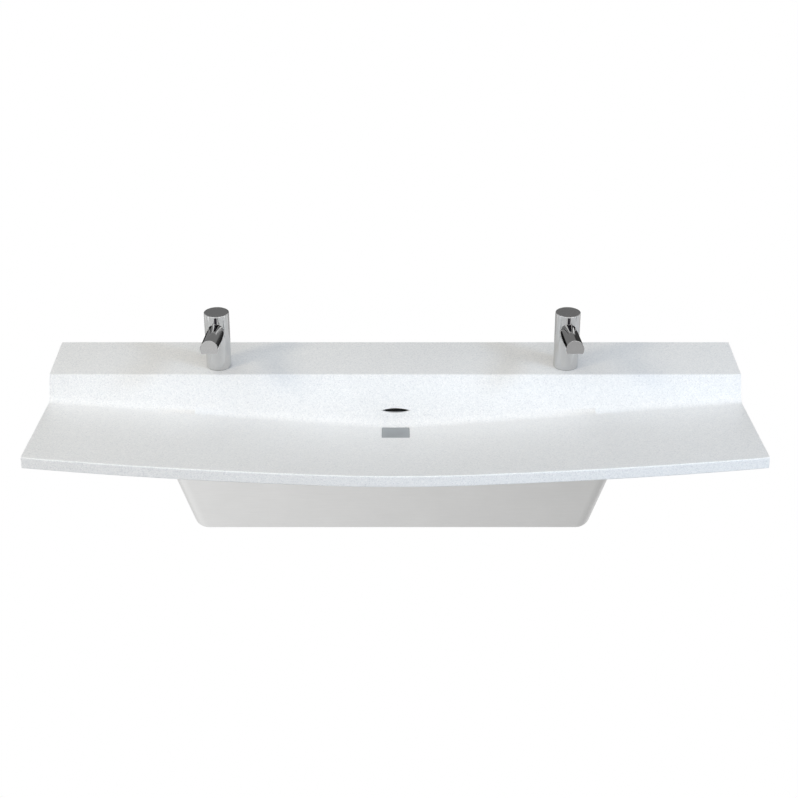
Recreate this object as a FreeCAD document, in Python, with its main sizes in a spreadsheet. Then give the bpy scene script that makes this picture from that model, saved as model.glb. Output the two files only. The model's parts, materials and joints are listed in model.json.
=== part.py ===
import FreeCAD, Part
import math
import os
import Sketcher
from FreeCAD import Matrix, Placement, Rotation, Vector

# A two-station wall-hung restroom sink: a cast quartz deck with one shared trough,
# two touchless faucets, a covered drain with its trap, the tempered water line, and
# a stainless enclosure that hides them. Millimetres. X runs right, Y into the wall
# and Z up. The origin is the centre of the wall bolts, on the wall plane. Places are
# written as depth, forward of the wall, and drop, below the top of the ledge.

SIZES = {
    # Deck
    "deck_width": 1524.0,
    "ledge_height": 74.0,
    "ledge_depth": 162.0,
    "slab_thickness": 25.4,
    "wall_thickness": 22.0,
    "wall_lean": 27.0,
    "rim_corner_depth": 502.0,
    "rim_centre_depth": 578.0,
    "rim_drop": 15.7,
    "nose_half_width": 150.0,
    "nose_radius": 2000.0,
    "valley_end_drop": 53.0,
    "valley_bend_drop": 97.3,
    "valley_bend_half_width": 120.0,
    "valley_radius": 23.0,
    "ledge_edge_radius": 3.0,
    "rim_edge_radius": 2.5,
    "overrun": 20.0,
    "fixture_shift": -6.8,
    # Overflow
    "slot_drop": 70.9,
    "slot_width": 65.0,
    "slot_height": 9.6,
    "slot_lip": 3.5,
    "slot_pocket_margin": 7.0,
    "housing_margin": 2.0,
    "housing_depth": 25.0,
    "housing_skin": 3.0,
    "housing_bottom_drop": 129.0,
    "passage_radius": 6.5,
    "passage_drop": 118.0,
    # Drain well and its lift-out cover
    "drain_shift": 0.8,
    "drain_depth": 265.0,
    "cover_width": 60.0,
    "cover_length": 81.0,
    "cover_corner": 3.0,
    "cover_thickness": 3.0,
    "cover_bevel": 0.8,
    "cover_gap": 0.5,
    "cover_seat_depth": 3.4,
    "cover_leg_height": 9.0,
    "cover_leg_thickness": 2.5,
    "cover_leg_length": 46.0,
    "sump_width": 53.0,
    "sump_length": 68.0,
    "sump_corner": 8.0,
    "sump_drop": 126.0,
    "boss_width": 120.0,
    "boss_length": 104.0,
    "boss_drop": 142.0,
    # Drain fitting and trap
    "drain_flange_radius": 26.0,
    "drain_flange_thickness": 3.0,
    "drain_body_radius": 20.5,
    "drain_body_bore": 16.6,
    "drain_body_end_drop": 172.0,
    "drain_hole_clearance": 0.5,
    "strainer_thickness": 2.0,
    "strainer_hole_radius": 2.6,
    "strainer_ring_radius": 10.0,
    "strainer_clearance": 0.2,
    "gasket_thickness": 4.0,
    "gasket_radius": 29.0,
    "locknut_corner_radius": 31.0,
    "locknut_height": 10.0,
    "thread_clearance": 0.1,
    "tail_radius": 15.875,
    "tail_top_drop": 158.0,
    "tail_bottom_drop": 216.0,
    "tube_wall": 1.2,
    "trap_radius": 19.05,
    "trap_spacing": 80.0,
    "trap_inlet_drop": 200.0,
    "trap_inlet_run": 14.0,
    "trap_outlet_run": 8.0,
    "trap_joint_gap": 0.3,
    "trap_arm_run": 4.7,
    "trap_arm_bend": 33.0,
    "trap_arm_reach": 50.0,
    "arm_bead_height": 1.5,
    "arm_bead_width": 2.5,
    "slip_nut_radius": 26.0,
    "slip_nut_height": 16.0,
    "slip_nut_cap": 6.0,
    "escutcheon_radius": 38.0,
    "escutcheon_depth": 11.0,
    "escutcheon_skin": 2.0,
    # Wall frame
    "rail_half_length": 560.0,
    "rail_flange": 45.0,
    "rail_thickness": 4.5,
    "rail_bottom_drop": 122.0,
    "bolt_spacing": 812.8,
    "bolt_rise": 56.0,
    "bolt_hole_radius": 5.5,
    "arm_spacing": 1040.0,
    "arm_thickness": 6.0,
    "arm_reach": 358.0,
    "arm_tip_drop": 96.0,
    "arm_knee_depth": 200.0,
    "arm_knee_drop": 150.0,
    "arm_clearance": 0.3,
    "deck_screw_radius": 4.0,
    "deck_screw_clearance": 0.4,
    "deck_screw_bite": 13.0,
    "deck_screw_head": 7.5,
    "deck_screw_head_height": 5.3,
    "deck_screw_depth": 25.0,
    "deck_screw_inner": 210.0,
    "deck_screw_outer": 500.0,
    # Service panel behind the enclosure
    "panel_half_width": 380.0,
    "panel_thickness": 2.0,
    "panel_top_drop": 90.0,
    "panel_bottom_drop": 264.5,
    "panel_screw_drop": 106.0,
    "panel_screw_inner": 180.0,
    "panel_screw_outer": 358.0,
    "small_screw_radius": 2.5,
    "small_screw_clearance": 0.1,
    "small_screw_head": 4.6,
    "small_screw_head_height": 2.6,
    "arm_hole_radius": 22.0,
    "stop_hole_radius": 13.0,
    # Hinge along the foot of the panel
    "hinge_depth": 26.0,
    "hinge_drop": 270.5,
    "hinge_half_spacing": 350.0,
    "hinge_pin_radius": 3.0,
    "hinge_clearance": 0.05,
    "hinge_head_radius": 5.0,
    "hinge_head_thickness": 2.0,
    "ear_thickness": 2.5,
    "ear_gap": 0.5,
    "ear_margin": 8.5,
    "pin_tail": 2.0,
    # Trap enclosure
    "enclosure_skin": 1.5,
    "enclosure_back_depth": 5.0,
    "enclosure_front_depth": 345.0,
    "enclosure_bottom_drop": 284.0,
    "enclosure_half_base": 428.4,
    "enclosure_flare": 15.5,
    "enclosure_rake": 11.0,
    "enclosure_blank_drop": 40.0,
    "enclosure_rear_top_drop": 104.0,
    "enclosure_step_depth": 205.0,
    "enclosure_gap": 3.0,
    "enclosure_side_radius": 19.0,
    "enclosure_corner_radius": 30.0,
    "enclosure_toe_radius": 8.0,
    "floor_notch_depth": 10.4,
    "floor_notch_inset": 45.0,
    "ear_slot_gap": 1.5,
    "flange_width": 22.0,
    "flange_foot_drop": 252.0,
    "security_screw_drop": 112.0,
    "security_screw_radius": 3.0,
    "security_screw_clearance": 0.6,
    "security_screw_head": 6.0,
    "security_screw_head_height": 3.0,
    "security_screw_length": 5.5,
    # Faucets
    "faucet_spacing": 771.0,
    "faucet_depth": 117.0,
    "faucet_height": 130.0,
    "faucet_radius": 27.5,
    "faucet_wall": 3.0,
    "foot_gasket_thickness": 1.2,
    "foot_gasket_inset": 1.0,
    "cap_radius": 25.8,
    "cap_thickness": 2.4,
    "cap_clearance": 0.2,
    "spout_radius": 19.2,
    "spout_sole": 9.7,
    "spout_rise": 11.5,
    "spout_reach": 174.5,
    "spout_root_height": 88.0,
    "spout_edge_radius": 0.7,
    "waterway_radius": 5.0,
    "waterway_drop_radius": 4.0,
    "aerator_radius": 10.0,
    "aerator_height": 6.0,
    "aerator_sink": 5.0,
    "aerator_bore": 7.0,
    "aerator_inset": 17.0,
    "aerator_clearance": 0.2,
    "lens_width": 6.0,
    "lens_height": 13.5,
    "lens_top_height": 127.5,
    "lens_depth": 2.0,
    "lens_proud": 0.3,
    "shank_radius": 13.0,
    "shank_bore": 6.5,
    "shank_hole_radius": 15.0,
    "shank_end_drop": 84.0,
    "shank_top_height": 14.0,
    "washer_radius": 24.0,
    "washer_thickness": 2.5,
    "shank_nut_corner_radius": 22.0,
    "shank_nut_height": 11.0,
    # Water line
    "line_depth": 42.0,
    "line_radius": 6.35,
    "line_wall": 0.9,
    "line_bend": 18.0,
    "line_gap": 0.3,
    "line_nut_corner_radius": 11.5,
    "line_nut_height": 10.0,
    "stop_spacing": 203.2,
    "stop_drop": 215.0,
    "stop_radius": 11.0,
    "stop_socket_radius": 7.95,
    "stop_socket_length": 14.0,
    "stop_back_depth": 2.0,
    "stop_front_depth": 60.0,
    "stop_port_radius": 8.5,
    "stop_port_rise": 22.0,
    "stem_radius": 3.5,
    "stem_length": 14.0,
    "stem_clearance": 0.05,
    "handle_half_length": 20.0,
    "handle_half_height": 9.0,
    "handle_thickness": 9.0,
    "handle_gap": 1.0,
    "valve_drop": 95.0,
    "valve_radius": 17.0,
    "valve_half_length": 40.0,
    "valve_port_radius": 9.0,
    "valve_port_length": 8.0,
    "valve_outlet_rise": 26.0,
    "valve_nose_radius": 14.0,
    "valve_nose_depth": 70.0,
    "valve_foot_half_width": 11.0,
    "valve_foot_half_height": 9.0,
    "valve_stem_radius": 4.0,
    "valve_stem_length": 12.0,
    "knob_radius": 17.0,
    "knob_length": 19.0,
    "knob_groove_radius": 1.6,
    "knob_gap": 1.0,
    "tee_drop": 52.0,
    "tee_radius": 9.5,
    "tee_half_length": 24.0,
    "solenoid_setback": 49.0,
    "solenoid_length": 46.0,
    "solenoid_radius": 10.0,
    "solenoid_neck_radius": 8.0,
    "solenoid_neck_length": 4.0,
    "coil_width": 28.0,
    "coil_length": 34.0,
    "coil_corner": 4.0,
    "feed_drop": 118.0,
    # Control box on the panel
    "control_offset": 255.0,
    "control_width": 110.0,
    "control_top_drop": 150.0,
    "control_bottom_drop": 232.0,
    "control_depth": 42.0,
    "control_skin": 2.5,
    "control_corner": 6.0,
    "control_cover_thickness": 4.0,
    "control_screw_inset": 8.0,
    "control_post_radius": 5.0,
    "control_screw_length": 16.0,
}

# Places closer than this are taken as one
TOUCH = 0.01
STRAINER_HOLES = 8
KNOB_GROOVES = 12
HEX_SIDES = 6
QUARTER_TURN = 90
HALF_TURN = 180
FULL_TURN = 360


class Size:
    """A number of the sheet, kept with the words that bind a feature to it."""

    def __init__(self, words, value):
        self.words = words
        self.value = value

    def __add__(self, other):
        other = size(other)
        return Size(f"({self.words} + {other.words})", self.value + other.value)

    def __radd__(self, other):
        return size(other) + self

    def __sub__(self, other):
        other = size(other)
        return Size(f"({self.words} - {other.words})", self.value - other.value)

    def __rsub__(self, other):
        return size(other) - self

    def __mul__(self, other):
        other = size(other)
        return Size(f"({self.words} * {other.words})", self.value * other.value)

    def __rmul__(self, other):
        return size(other) * self

    def __truediv__(self, other):
        other = size(other)
        return Size(f"({self.words} / {other.words})", self.value / other.value)

    def __neg__(self):
        return size(0) - self


def size(item):
    """A plain number or a Size, as a Size."""
    return item if isinstance(item, Size) else Size(f"({item:.12g})", float(item))


def tan(angle):
    return Size(f"tan({angle.words})", math.tan(math.radians(angle.value)))


def cos(angle):
    return Size(f"cos({angle.words})", math.cos(math.radians(angle.value)))


def square_root(item):
    return Size(f"sqrt({item.words})", math.sqrt(item.value))


class Named:
    """The sheet's sizes by name."""


doc = FreeCAD.newDocument("restroom_sink")
sheet = doc.addObject("Spreadsheet::Sheet", "Sizes")
s = Named()
for row, (alias, number) in enumerate(SIZES.items(), start=1):
    sheet.set(f"A{row}", alias)
    sheet.set(f"B{row}", str(number))
    sheet.setAlias(f"B{row}", alias)
    setattr(s, alias, Size(f"Sizes.{alias}", number))
doc.recompute()

# Turns that take a piece's own Z to each side of the sink
TURNS = {
    "up": Rotation(),
    "down": Rotation(Vector(1, 0, 0), HALF_TURN),
    "front": Rotation(Vector(1, 0, 0), QUARTER_TURN),
    "back": Rotation(Vector(1, 0, 0), -QUARTER_TURN),
    "right": Rotation(Vector(0, 1, 0), QUARTER_TURN),
    "left": Rotation(Vector(0, 1, 0), -QUARTER_TURN),
}
OPPOSITE = {"left": "right", "right": "left"}
SIDES = (("left", -1), ("right", 1))
NODES = {}


def direction(way):
    """The unit vector that runs one way."""
    unit = TURNS[way].multVec(Vector(0, 0, 1))
    return Vector(round(unit.x), round(unit.y), round(unit.z))


def at(x, depth, drop):
    """A place from its X, its depth forward of the wall and its drop below the ledge."""
    return (size(x), -size(depth), s.ledge_height - drop)


def bind(feature, name, item):
    feature.setExpression(name, size(item).words)


def place(feature, spot, turn=None):
    """Puts a feature at a spot, turned one way, with the spot bound to the sheet."""
    if turn is not None:
        feature.Placement = Placement(Vector(), turn)
    for letter, item in zip("xyz", spot):
        bind(feature, f"Placement.Base.{letter}", item)
    return feature


def block(name, x, depth, drop):
    """A box from pairs of X, depth and drop, each from low to high."""
    box = doc.addObject("Part::Box", name)
    bind(box, "Length", x[1] - x[0])
    bind(box, "Width", depth[1] - depth[0])
    bind(box, "Height", drop[1] - drop[0])
    return place(box, at(x[0], depth[1], drop[1]))


def rod(name, spot, way, radius, length):
    """A round bar from a spot, running one way."""
    bar = doc.addObject("Part::Cylinder", name)
    bind(bar, "Radius", radius)
    bind(bar, "Height", length)
    return place(bar, spot, TURNS[way])


def hexagon(name, spot, way, corner_radius, length):
    """A hexagonal bar from a spot, running one way."""
    bar = doc.addObject("Part::Prism", name)
    bar.Polygon = HEX_SIDES
    bind(bar, "Circumradius", corner_radius)
    bind(bar, "Height", length)
    return place(bar, spot, TURNS[way])


def fuse(name, pieces):
    if len(pieces) == 1:
        return pieces[0]
    joined = doc.addObject("Part::MultiFuse", name)
    joined.Shapes = pieces
    joined.Refine = True
    return joined


def cut(name, base, tools):
    left = doc.addObject("Part::Cut", name)
    left.Base = base
    left.Tool = fuse(f"{name}_tools", tools)
    left.Refine = True
    return left


def common(name, pieces):
    shared = doc.addObject("Part::MultiCommon", name)
    shared.Shapes = pieces
    shared.Refine = True
    return shared


def group(name, pieces):
    """Separate solids of one node."""
    joined = doc.addObject("Part::Compound", name)
    joined.Links = pieces
    return joined


def node(label, piece):
    """Names a finished piece, which is written to a file of its own."""
    piece.Label = label
    NODES[label] = piece
    return piece


def origin_plane(body, role):
    return [item for item in body.Origin.OriginFeatures if item.Role == role][0]


def arc_edge(first, last, radius):
    """An arc under a half circle, turning left from first to last, or right if negative."""
    chord = last - first
    rise = math.sqrt(radius * radius - chord.Length ** 2 / 4)
    aside = Vector(-chord.y, chord.x, 0).normalize() * math.copysign(rise, radius)
    centre = (first + last) * 0.5 + aside
    ends = (first, last) if radius > 0 else (last, first)
    angles = [math.atan2((end - centre).y, (end - centre).x) for end in ends]
    circle = Part.Circle(centre, Vector(0, 0, 1), abs(radius))
    return Part.ArcOfCircle(circle, *angles)


def draw(sketch, corners):
    """A closed outline in a sketch. A corner is u, v and, if an arc follows, its radius."""
    points = [Vector(size(c[0]).value, size(c[1]).value, 0) for c in corners]
    first_edge = sketch.GeometryCount
    count = len(corners)
    starts = []
    ends = []
    for index, corner in enumerate(corners):
        point = points[index]
        after = points[(index + 1) % count]
        if len(corner) == 3:
            radius = corner[2]
            sketch.addGeometry(arc_edge(point, after, radius.value))
            forward = radius.value > 0
        else:
            sketch.addGeometry(Part.LineSegment(point, after))
            forward = True
        starts.append(1 if forward else 2)
        ends.append(2 if forward else 1)
    for index, corner in enumerate(corners):
        edge = first_edge + index
        before = first_edge + (index - 1) % count
        joint = Sketcher.Constraint("Coincident", before, ends[index - 1], edge, starts[index])
        sketch.addConstraint(joint)
        for kind, item in zip(("DistanceX", "DistanceY"), corner):
            item = size(item)
            fixed = Sketcher.Constraint(kind, -1, 1, edge, starts[index], item.value)
            bind(sketch, f"Constraints[{sketch.addConstraint(fixed)}]", item)
        if len(corner) == 3:
            item = corner[2] if corner[2].value > 0 else -corner[2]
            fixed = Sketcher.Constraint("Radius", edge, item.value)
            bind(sketch, f"Constraints[{sketch.addConstraint(fixed)}]", item)


def sketched_body(name, role, outlines):
    body = doc.addObject("PartDesign::Body", name)
    sketch = body.newObject("Sketcher::SketchObject", f"{name}_outline")
    sketch.AttachmentSupport = (origin_plane(body, role), "")
    sketch.MapMode = "FlatFace"
    for corners in outlines:
        draw(sketch, corners)
    return body, sketch


def padded(name, role, outlines, length, spot):
    """A body padded from outlines in one of its origin planes."""
    body, sketch = sketched_body(name, role, outlines)
    pad = body.newObject("PartDesign::Pad", f"{name}_pad")
    pad.Profile = sketch
    bind(pad, "Length", length)
    sketch.Visibility = False
    return place(body, spot)


def side_plate(name, x, width, *outlines):
    """A plate across the sink from outlines of depth and drop, from x to the right."""
    flipped = [[(-size(c[0]), -size(c[1])) for c in corners] for corners in outlines]
    return padded(name, "YZ_Plane", flipped, width, at(x, 0, 0))


def front_plate(name, depth, length, *outlines):
    """A plate that faces the front from outlines of X and drop, from a depth forward."""
    flipped = [[(c[0], -size(c[1])) + tuple(c[2:]) for c in corners] for corners in outlines]
    return padded(name, "XZ_Plane", flipped, length, at(0, depth, 0))


def plan_plate(name, drop, height, *outlines):
    """A level plate from outlines of X and Y, whose underside is at a drop."""
    return padded(name, "XY_Plane", outlines, height, at(0, 0, drop))


def turned(name, spot, way, profile):
    """A body turned from a profile of radius and height about its own Z."""
    body, sketch = sketched_body(name, "XZ_Plane", [profile])
    spin = body.newObject("PartDesign::Revolution", f"{name}_turn")
    spin.Profile = sketch
    spin.ReferenceAxis = (sketch, ["V_Axis"])
    spin.Angle = FULL_TURN
    sketch.Visibility = False
    return place(body, spot, TURNS[way])


def ring(name, spot, way, bore, radius, height):
    """A plain turned ring."""
    return turned(name, spot, way, [(bore, 0), (radius, 0), (radius, height), (bore, height)])


def round_edges(body, radius, wanted):
    """Fillets the edges of a body's last feature that a test picks."""
    doc.recompute()
    last = body.Tip
    shape = last.Shape
    picked = [f"Edge{i + 1}" for i, edge in enumerate(shape.Edges) if wanted(edge)]
    fillet = body.newObject("PartDesign::Fillet", f"{body.Name}_fillet")
    fillet.Base = (last, picked)
    bind(fillet, "Radius", radius)
    return body


def runs_along(way):
    """A test for straight edges along one way of a body."""
    def wanted(edge):
        start, end = edge.Vertexes[0].Point, edge.Vertexes[-1].Point
        return abs((end - start).dot(direction(way))) > edge.Length - TOUCH
    return wanted


def corner_turn(first, second):
    """The turn of a quarter torus that joins a run one way to a run another way."""
    x_axis, y_axis = -direction(second), direction(first)
    z_axis = x_axis.cross(y_axis)
    turn = Matrix(x_axis.x, y_axis.x, z_axis.x, 0, x_axis.y, y_axis.y, z_axis.y, 0,
                  x_axis.z, y_axis.z, z_axis.z, 0, 0, 0, 0, 1)
    return Placement(turn).Rotation


def moved(spot, way, distance):
    """A spot moved one way."""
    step = direction(way)
    return tuple(item + distance * part if part else item for item, part in zip(spot, step))


def tube_run(name, spot, way, length, radius, wall):
    """A straight tube from a spot, running one way."""
    outside = rod(f"{name}_outside", spot, way, radius, length)
    return cut(name, outside, [rod(f"{name}_inside", spot, way, radius - wall, length)])


def tube_bend(name, centre, ways, angle, bend, radius, wall):
    """A bend of a tube about a centre, from one way towards another."""
    solids = []
    for tag, tube_radius in (("outside", radius), ("inside", radius - wall)):
        elbow = doc.addObject("Part::Torus", f"{name}_{tag}")
        bind(elbow, "Radius1", bend)
        bind(elbow, "Radius2", tube_radius)
        elbow.Angle3 = angle
        solids.append(place(elbow, centre, corner_turn(*ways)))
    return cut(name, solids[0], [solids[1]])


def bent_tube(name, spot, runs, bend, radius, wall):
    """A tube of straight runs, each a way and a length, with quarter bends between."""
    pieces = []
    last = len(runs) - 1
    for index, (way, length) in enumerate(runs):
        lead = bend if index > 0 else size(0)
        trail = bend if index < last else size(0)
        start = moved(spot, way, lead)
        pieces.append(tube_run(f"{name}_run{index}", start, way, length - lead - trail, radius,
                               wall))
        spot = moved(spot, way, length)
        if index < last:
            turn_way = runs[index + 1][0]
            centre = moved(moved(spot, way, -bend), turn_way, bend)
            pieces.append(tube_bend(f"{name}_bend{index}", centre, (way, turn_way),
                                    QUARTER_TURN, bend, radius, wall))
    return fuse(name, pieces)


def span(middle, half):
    return (middle - half, middle + half)


# The faucets, the enclosure and what it hides share one centre line, the drain another
centre_x = s.fixture_shift
drain_x = s.drain_shift
trap_outlet_drop = s.trap_inlet_drop + s.trap_inlet_run - s.trap_outlet_run
trap_arm_drop = trap_outlet_drop - s.trap_joint_gap - s.trap_arm_run - s.trap_arm_bend

# Deck: the ledge, the leaning wall, the warped basin and the drain boss
half_deck = s.deck_width / 2
wall_slope = tan(s.wall_lean)
wall_run = s.wall_thickness / cos(s.wall_lean)


def wall_depth(drop):
    """Depth of the leaning wall's front face at a drop."""
    return s.ledge_depth + wall_slope * drop


def wall_back_depth(drop):
    return wall_depth(drop) - wall_run


nose_lean = s.nose_half_width / s.nose_radius
nose_level = square_root(1 - nose_lean * nose_lean)
nose_end_depth = s.rim_centre_depth - s.nose_radius * (1 - nose_level)
flank_width = half_deck - s.nose_half_width
flank_fall = nose_end_depth - s.rim_corner_depth
flank_radius = ((flank_width * flank_width + flank_fall * flank_fall)
                / ((flank_fall * nose_level - flank_width * nose_lean) * 2))


def rim_depth(x):
    """Depth of the rim at x: a round nose, then flanks that leave it at a tangent."""
    x = abs(x)
    if x <= s.nose_half_width.value:
        radius = s.nose_radius.value
        return s.rim_centre_depth.value - radius + math.sqrt(radius ** 2 - x ** 2)
    radius = flank_radius.value
    aside = x - s.nose_half_width.value + radius * nose_lean.value
    centre_depth = nose_end_depth.value - radius * nose_level.value
    return centre_depth + math.sqrt(radius ** 2 - aside ** 2)


def valley_drop(x):
    """Drop of the sharp corner between wall and basin at x: straight, then an arc."""
    x = abs(x)
    bend = s.valley_bend_half_width.value
    fall = s.valley_bend_drop.value - s.valley_end_drop.value
    slope = fall / (half_deck.value - bend)
    if x >= bend:
        return s.valley_bend_drop.value - slope * (x - bend)
    return s.valley_bend_drop.value + slope * (bend - x * x / bend) / 2


def basin_slope(x):
    drop = valley_drop(x)
    return (drop - s.rim_drop.value) / (rim_depth(x) - wall_depth(drop).value)


def basin_drop(x, depth):
    """Drop of the basin's top surface."""
    drop = valley_drop(x)
    return drop - basin_slope(x) * (depth - wall_depth(drop).value)


def row_point(x, depth, drop):
    return Vector(x, -depth, s.ledge_height.value - drop)


def section_wire(spot_at, far_drop):
    """A closed section: the basin line of two straights and an arc, closed at a drop."""
    outer = half_deck.value + s.overrun.value
    inner = s.valley_bend_half_width.value
    low = [spot_at(x) for x in (-outer, -inner, 0, inner, outer)]
    far = [row_point(x, *far_drop) for x in (outer, -outer)]
    edges = [
        Part.LineSegment(low[0], low[1]).toShape(),
        Part.Arc(low[1], low[2], low[3]).toShape(),
        Part.LineSegment(low[3], low[4]).toShape(),
        Part.LineSegment(low[4], far[0]).toShape(),
        Part.LineSegment(far[0], far[1]).toShape(),
        Part.LineSegment(far[1], low[0]).toShape(),
    ]
    return Part.Wire(edges)


def shaped(name, shape):
    """A feature that holds a shape made here."""
    feature = doc.addObject("Part::Feature", name)
    feature.Shape = shape
    return feature


def trough_shape():
    """The room above the basin, rounded along the valley."""
    front = s.rim_centre_depth.value + s.overrun.value
    above = -s.overrun.value

    def on_wall(x):
        drop = valley_drop(x)
        return row_point(x, wall_depth(drop).value, drop)

    def in_front(x):
        return row_point(x, front, basin_drop(x, front))

    rear = section_wire(on_wall, (wall_depth(above).value, above))
    fore = section_wire(in_front, (front, above))
    room = Part.makeLoft([rear, fore], True, True)
    valley = []
    for edge in room.Edges:
        middle = edge.valueAt((edge.FirstParameter + edge.LastParameter) / 2)
        drop = s.ledge_height.value - middle.z
        along = abs(edge.Vertexes[0].Point.x - edge.Vertexes[-1].Point.x)
        on_face = abs(-middle.y - wall_depth(drop).value) < TOUCH
        if on_face and along > s.valley_radius.value and drop > 0:
            valley.append(edge)
    return room.makeFillet(s.valley_radius.value, valley)


def room_under_deck(name, clearance):
    """Everything below the slab, a clearance away from it."""
    rear = s.ledge_depth.value / 2
    front = s.rim_centre_depth.value + s.overrun.value
    lower = s.slab_thickness.value + clearance.value
    floor = s.enclosure_bottom_drop.value + s.overrun.value

    def at_depth(depth):
        return lambda x: row_point(x, depth, basin_drop(x, depth) + lower)

    wires = [section_wire(at_depth(depth), (depth, floor)) for depth in (rear, front)]
    fore = shaped(f"{name}_fore", Part.makeLoft(wires, True, True))
    reach = half_deck + s.overrun
    top = s.slab_thickness + clearance
    base = s.enclosure_bottom_drop + s.overrun
    gap = clearance / cos(s.wall_lean)
    hind = side_plate(
        f"{name}_hind", -reach, reach * 2,
        [(-s.overrun, top), (wall_back_depth(top) - gap, top),
         (wall_back_depth(base) - gap, base), (-s.overrun, base)])
    doc.recompute()
    return fuse(name, [hind, fore])


def deck_tilt():
    """Slope of the basin under the drain cover, in degrees."""
    return math.degrees(math.atan(basin_slope(0)))


tilt = deck_tilt()
cover_spot = row_point(drain_x.value, s.drain_depth.value, basin_drop(0, s.drain_depth.value))
cover_place = Placement(cover_spot, Rotation(Vector(1, 0, 0), -tilt))


def cover_frame(feature):
    """Moves a feature from the drain cover's own frame to its place in the basin."""
    feature.Placement = cover_place.multiply(feature.Placement)
    return feature


def own_block(name, low, lengths):
    """A box in its own frame, from its low corner and lengths."""
    box = doc.addObject("Part::Box", name)
    for side, item in zip(("Length", "Width", "Height"), lengths):
        bind(box, side, item)
    box.Placement.Base = Vector(*[size(item).value for item in low])
    return box


def own_plate(name, width, length, corner, low, height):
    """A plate with rounded corners about the Z axis of its own frame."""
    x, y = width / 2, length / 2
    body, sketch = sketched_body(name, "XY_Plane", [[(-x, -y), (x, -y), (x, y), (-x, y)]])
    pad = body.newObject("PartDesign::Pad", f"{name}_pad")
    pad.Profile = sketch
    bind(pad, "Length", height)
    round_edges(body, corner, runs_along("up"))
    body.Placement.Base = Vector(0, 0, low.value)
    return body


def slot_pocket():
    """The room behind the slot's lip, cut from the back of the leaning wall."""
    top = s.slot_drop - s.slot_height / 2 - s.slot_pocket_margin
    bottom = s.slot_drop + s.slot_height / 2 + s.slot_pocket_margin
    lip = s.slot_lip / cos(s.wall_lean)
    width = s.slot_width + s.slot_pocket_margin * 2
    return side_plate("slot_pocket", drain_x - width / 2, width, [
        (wall_depth(top) - lip, top), (wall_depth(bottom) - lip, bottom),
        (wall_back_depth(bottom) - s.overrun, bottom), (wall_back_depth(top) - s.overrun, top)])


def make_deck():
    blank = plan_plate("deck_blank", s.boss_drop, s.boss_drop, [
        (-half_deck, 0), (-half_deck, -s.rim_corner_depth, flank_radius),
        (-s.nose_half_width, -nose_end_depth, s.nose_radius),
        (s.nose_half_width, -nose_end_depth, flank_radius),
        (half_deck, -s.rim_corner_depth), (half_deck, 0)])
    trough = shaped("trough", trough_shape())
    boss_x = span(drain_x, s.boss_width / 2)
    boss_depth = span(s.drain_depth, s.boss_length / 2)
    boss = block("drain_boss", boss_x, boss_depth, (s.overrun, s.boss_drop))
    under = cut("under_room", room_under_deck("under", size(0)), [boss])

    seat_gap = s.cover_gap * 2
    seat = cover_frame(own_plate(
        "cover_seat", s.cover_width + seat_gap, s.cover_length + seat_gap,
        s.cover_corner + s.cover_gap, -s.cover_seat_depth, s.cover_seat_depth + s.overrun))
    sump_x = span(drain_x, s.sump_width / 2)
    sump_depth = span(s.drain_depth, s.sump_length / 2)
    sump = plan_plate("sump", s.sump_drop, s.sump_drop, [
        (x, -depth) for x, depth in (
            (sump_x[0], sump_depth[0]), (sump_x[0], sump_depth[1]),
            (sump_x[1], sump_depth[1]), (sump_x[1], sump_depth[0]))])
    round_edges(sump, s.sump_corner, runs_along("up"))
    drain_spot = at(drain_x, s.drain_depth, s.boss_drop + s.overrun)
    drain_hole = rod("drain_hole", drain_spot, "up",
                     s.drain_body_radius + s.drain_hole_clearance, s.overrun * 3)

    slot_bow = s.slot_height / 2
    slot_half = s.slot_width / 2
    slot_radius = (slot_half * slot_half + slot_bow * slot_bow) / (slot_bow * 2)
    slot = front_plate(
        "overflow_slot", wall_depth(s.slot_drop) - s.wall_thickness * 2, s.wall_thickness * 3,
        [(drain_x - slot_half, s.slot_drop, slot_radius),
         (drain_x + slot_half, s.slot_drop, slot_radius)])
    passage_start = wall_back_depth(s.passage_drop) - s.overrun
    passage_end = s.drain_depth - s.sump_length / 2 + s.sump_corner / 2
    passage = rod("overflow_passage", at(drain_x, passage_start, s.passage_drop), "front",
                  s.passage_radius, passage_end - passage_start)

    holes = []
    for side, sign in SIDES:
        shank_spot = at(faucet_x(sign), s.faucet_depth, s.slab_thickness + s.overrun)
        holes.append(rod(f"shank_hole_{side}", shank_spot, "up", s.shank_hole_radius,
                         s.slab_thickness + s.overrun * 2))
    for index, x in enumerate(deck_screw_places()):
        spot = at(x, s.deck_screw_depth, s.slab_thickness + s.overrun)
        holes.append(rod(f"insert_hole{index}", spot, "up",
                         s.deck_screw_radius + s.deck_screw_clearance / 2,
                         s.overrun + s.deck_screw_bite + s.deck_screw_clearance))
    rooms = [trough, under, seat, sump, drain_hole, slot, slot_pocket(), passage]
    raw = cut("deck_raw", blank, rooms + holes)
    doc.recompute()
    node("sink_deck", round_deck(raw))


def round_deck(raw):
    """Breaks the ledge's front edge and the rim's two long edges."""
    edges = []
    for index, edge in enumerate(raw.Shape.Edges):
        middle = edge.valueAt((edge.FirstParameter + edge.LastParameter) / 2)
        drop = s.ledge_height.value - middle.z
        depth = -middle.y
        along = abs(edge.Vertexes[0].Point.x - edge.Vertexes[-1].Point.x)
        if along < s.overrun.value:
            continue
        if abs(drop) < TOUCH and abs(depth - s.ledge_depth.value) < TOUCH:
            edges.append((index + 1, s.ledge_edge_radius.value, s.ledge_edge_radius.value))
        elif depth > s.rim_corner_depth.value and abs(depth - rim_depth(middle.x)) < TOUCH:
            edges.append((index + 1, s.rim_edge_radius.value, s.rim_edge_radius.value))
    rounded = doc.addObject("Part::Fillet", "deck_rounded")
    rounded.Base = raw
    rounded.Edges = edges
    return rounded


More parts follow.
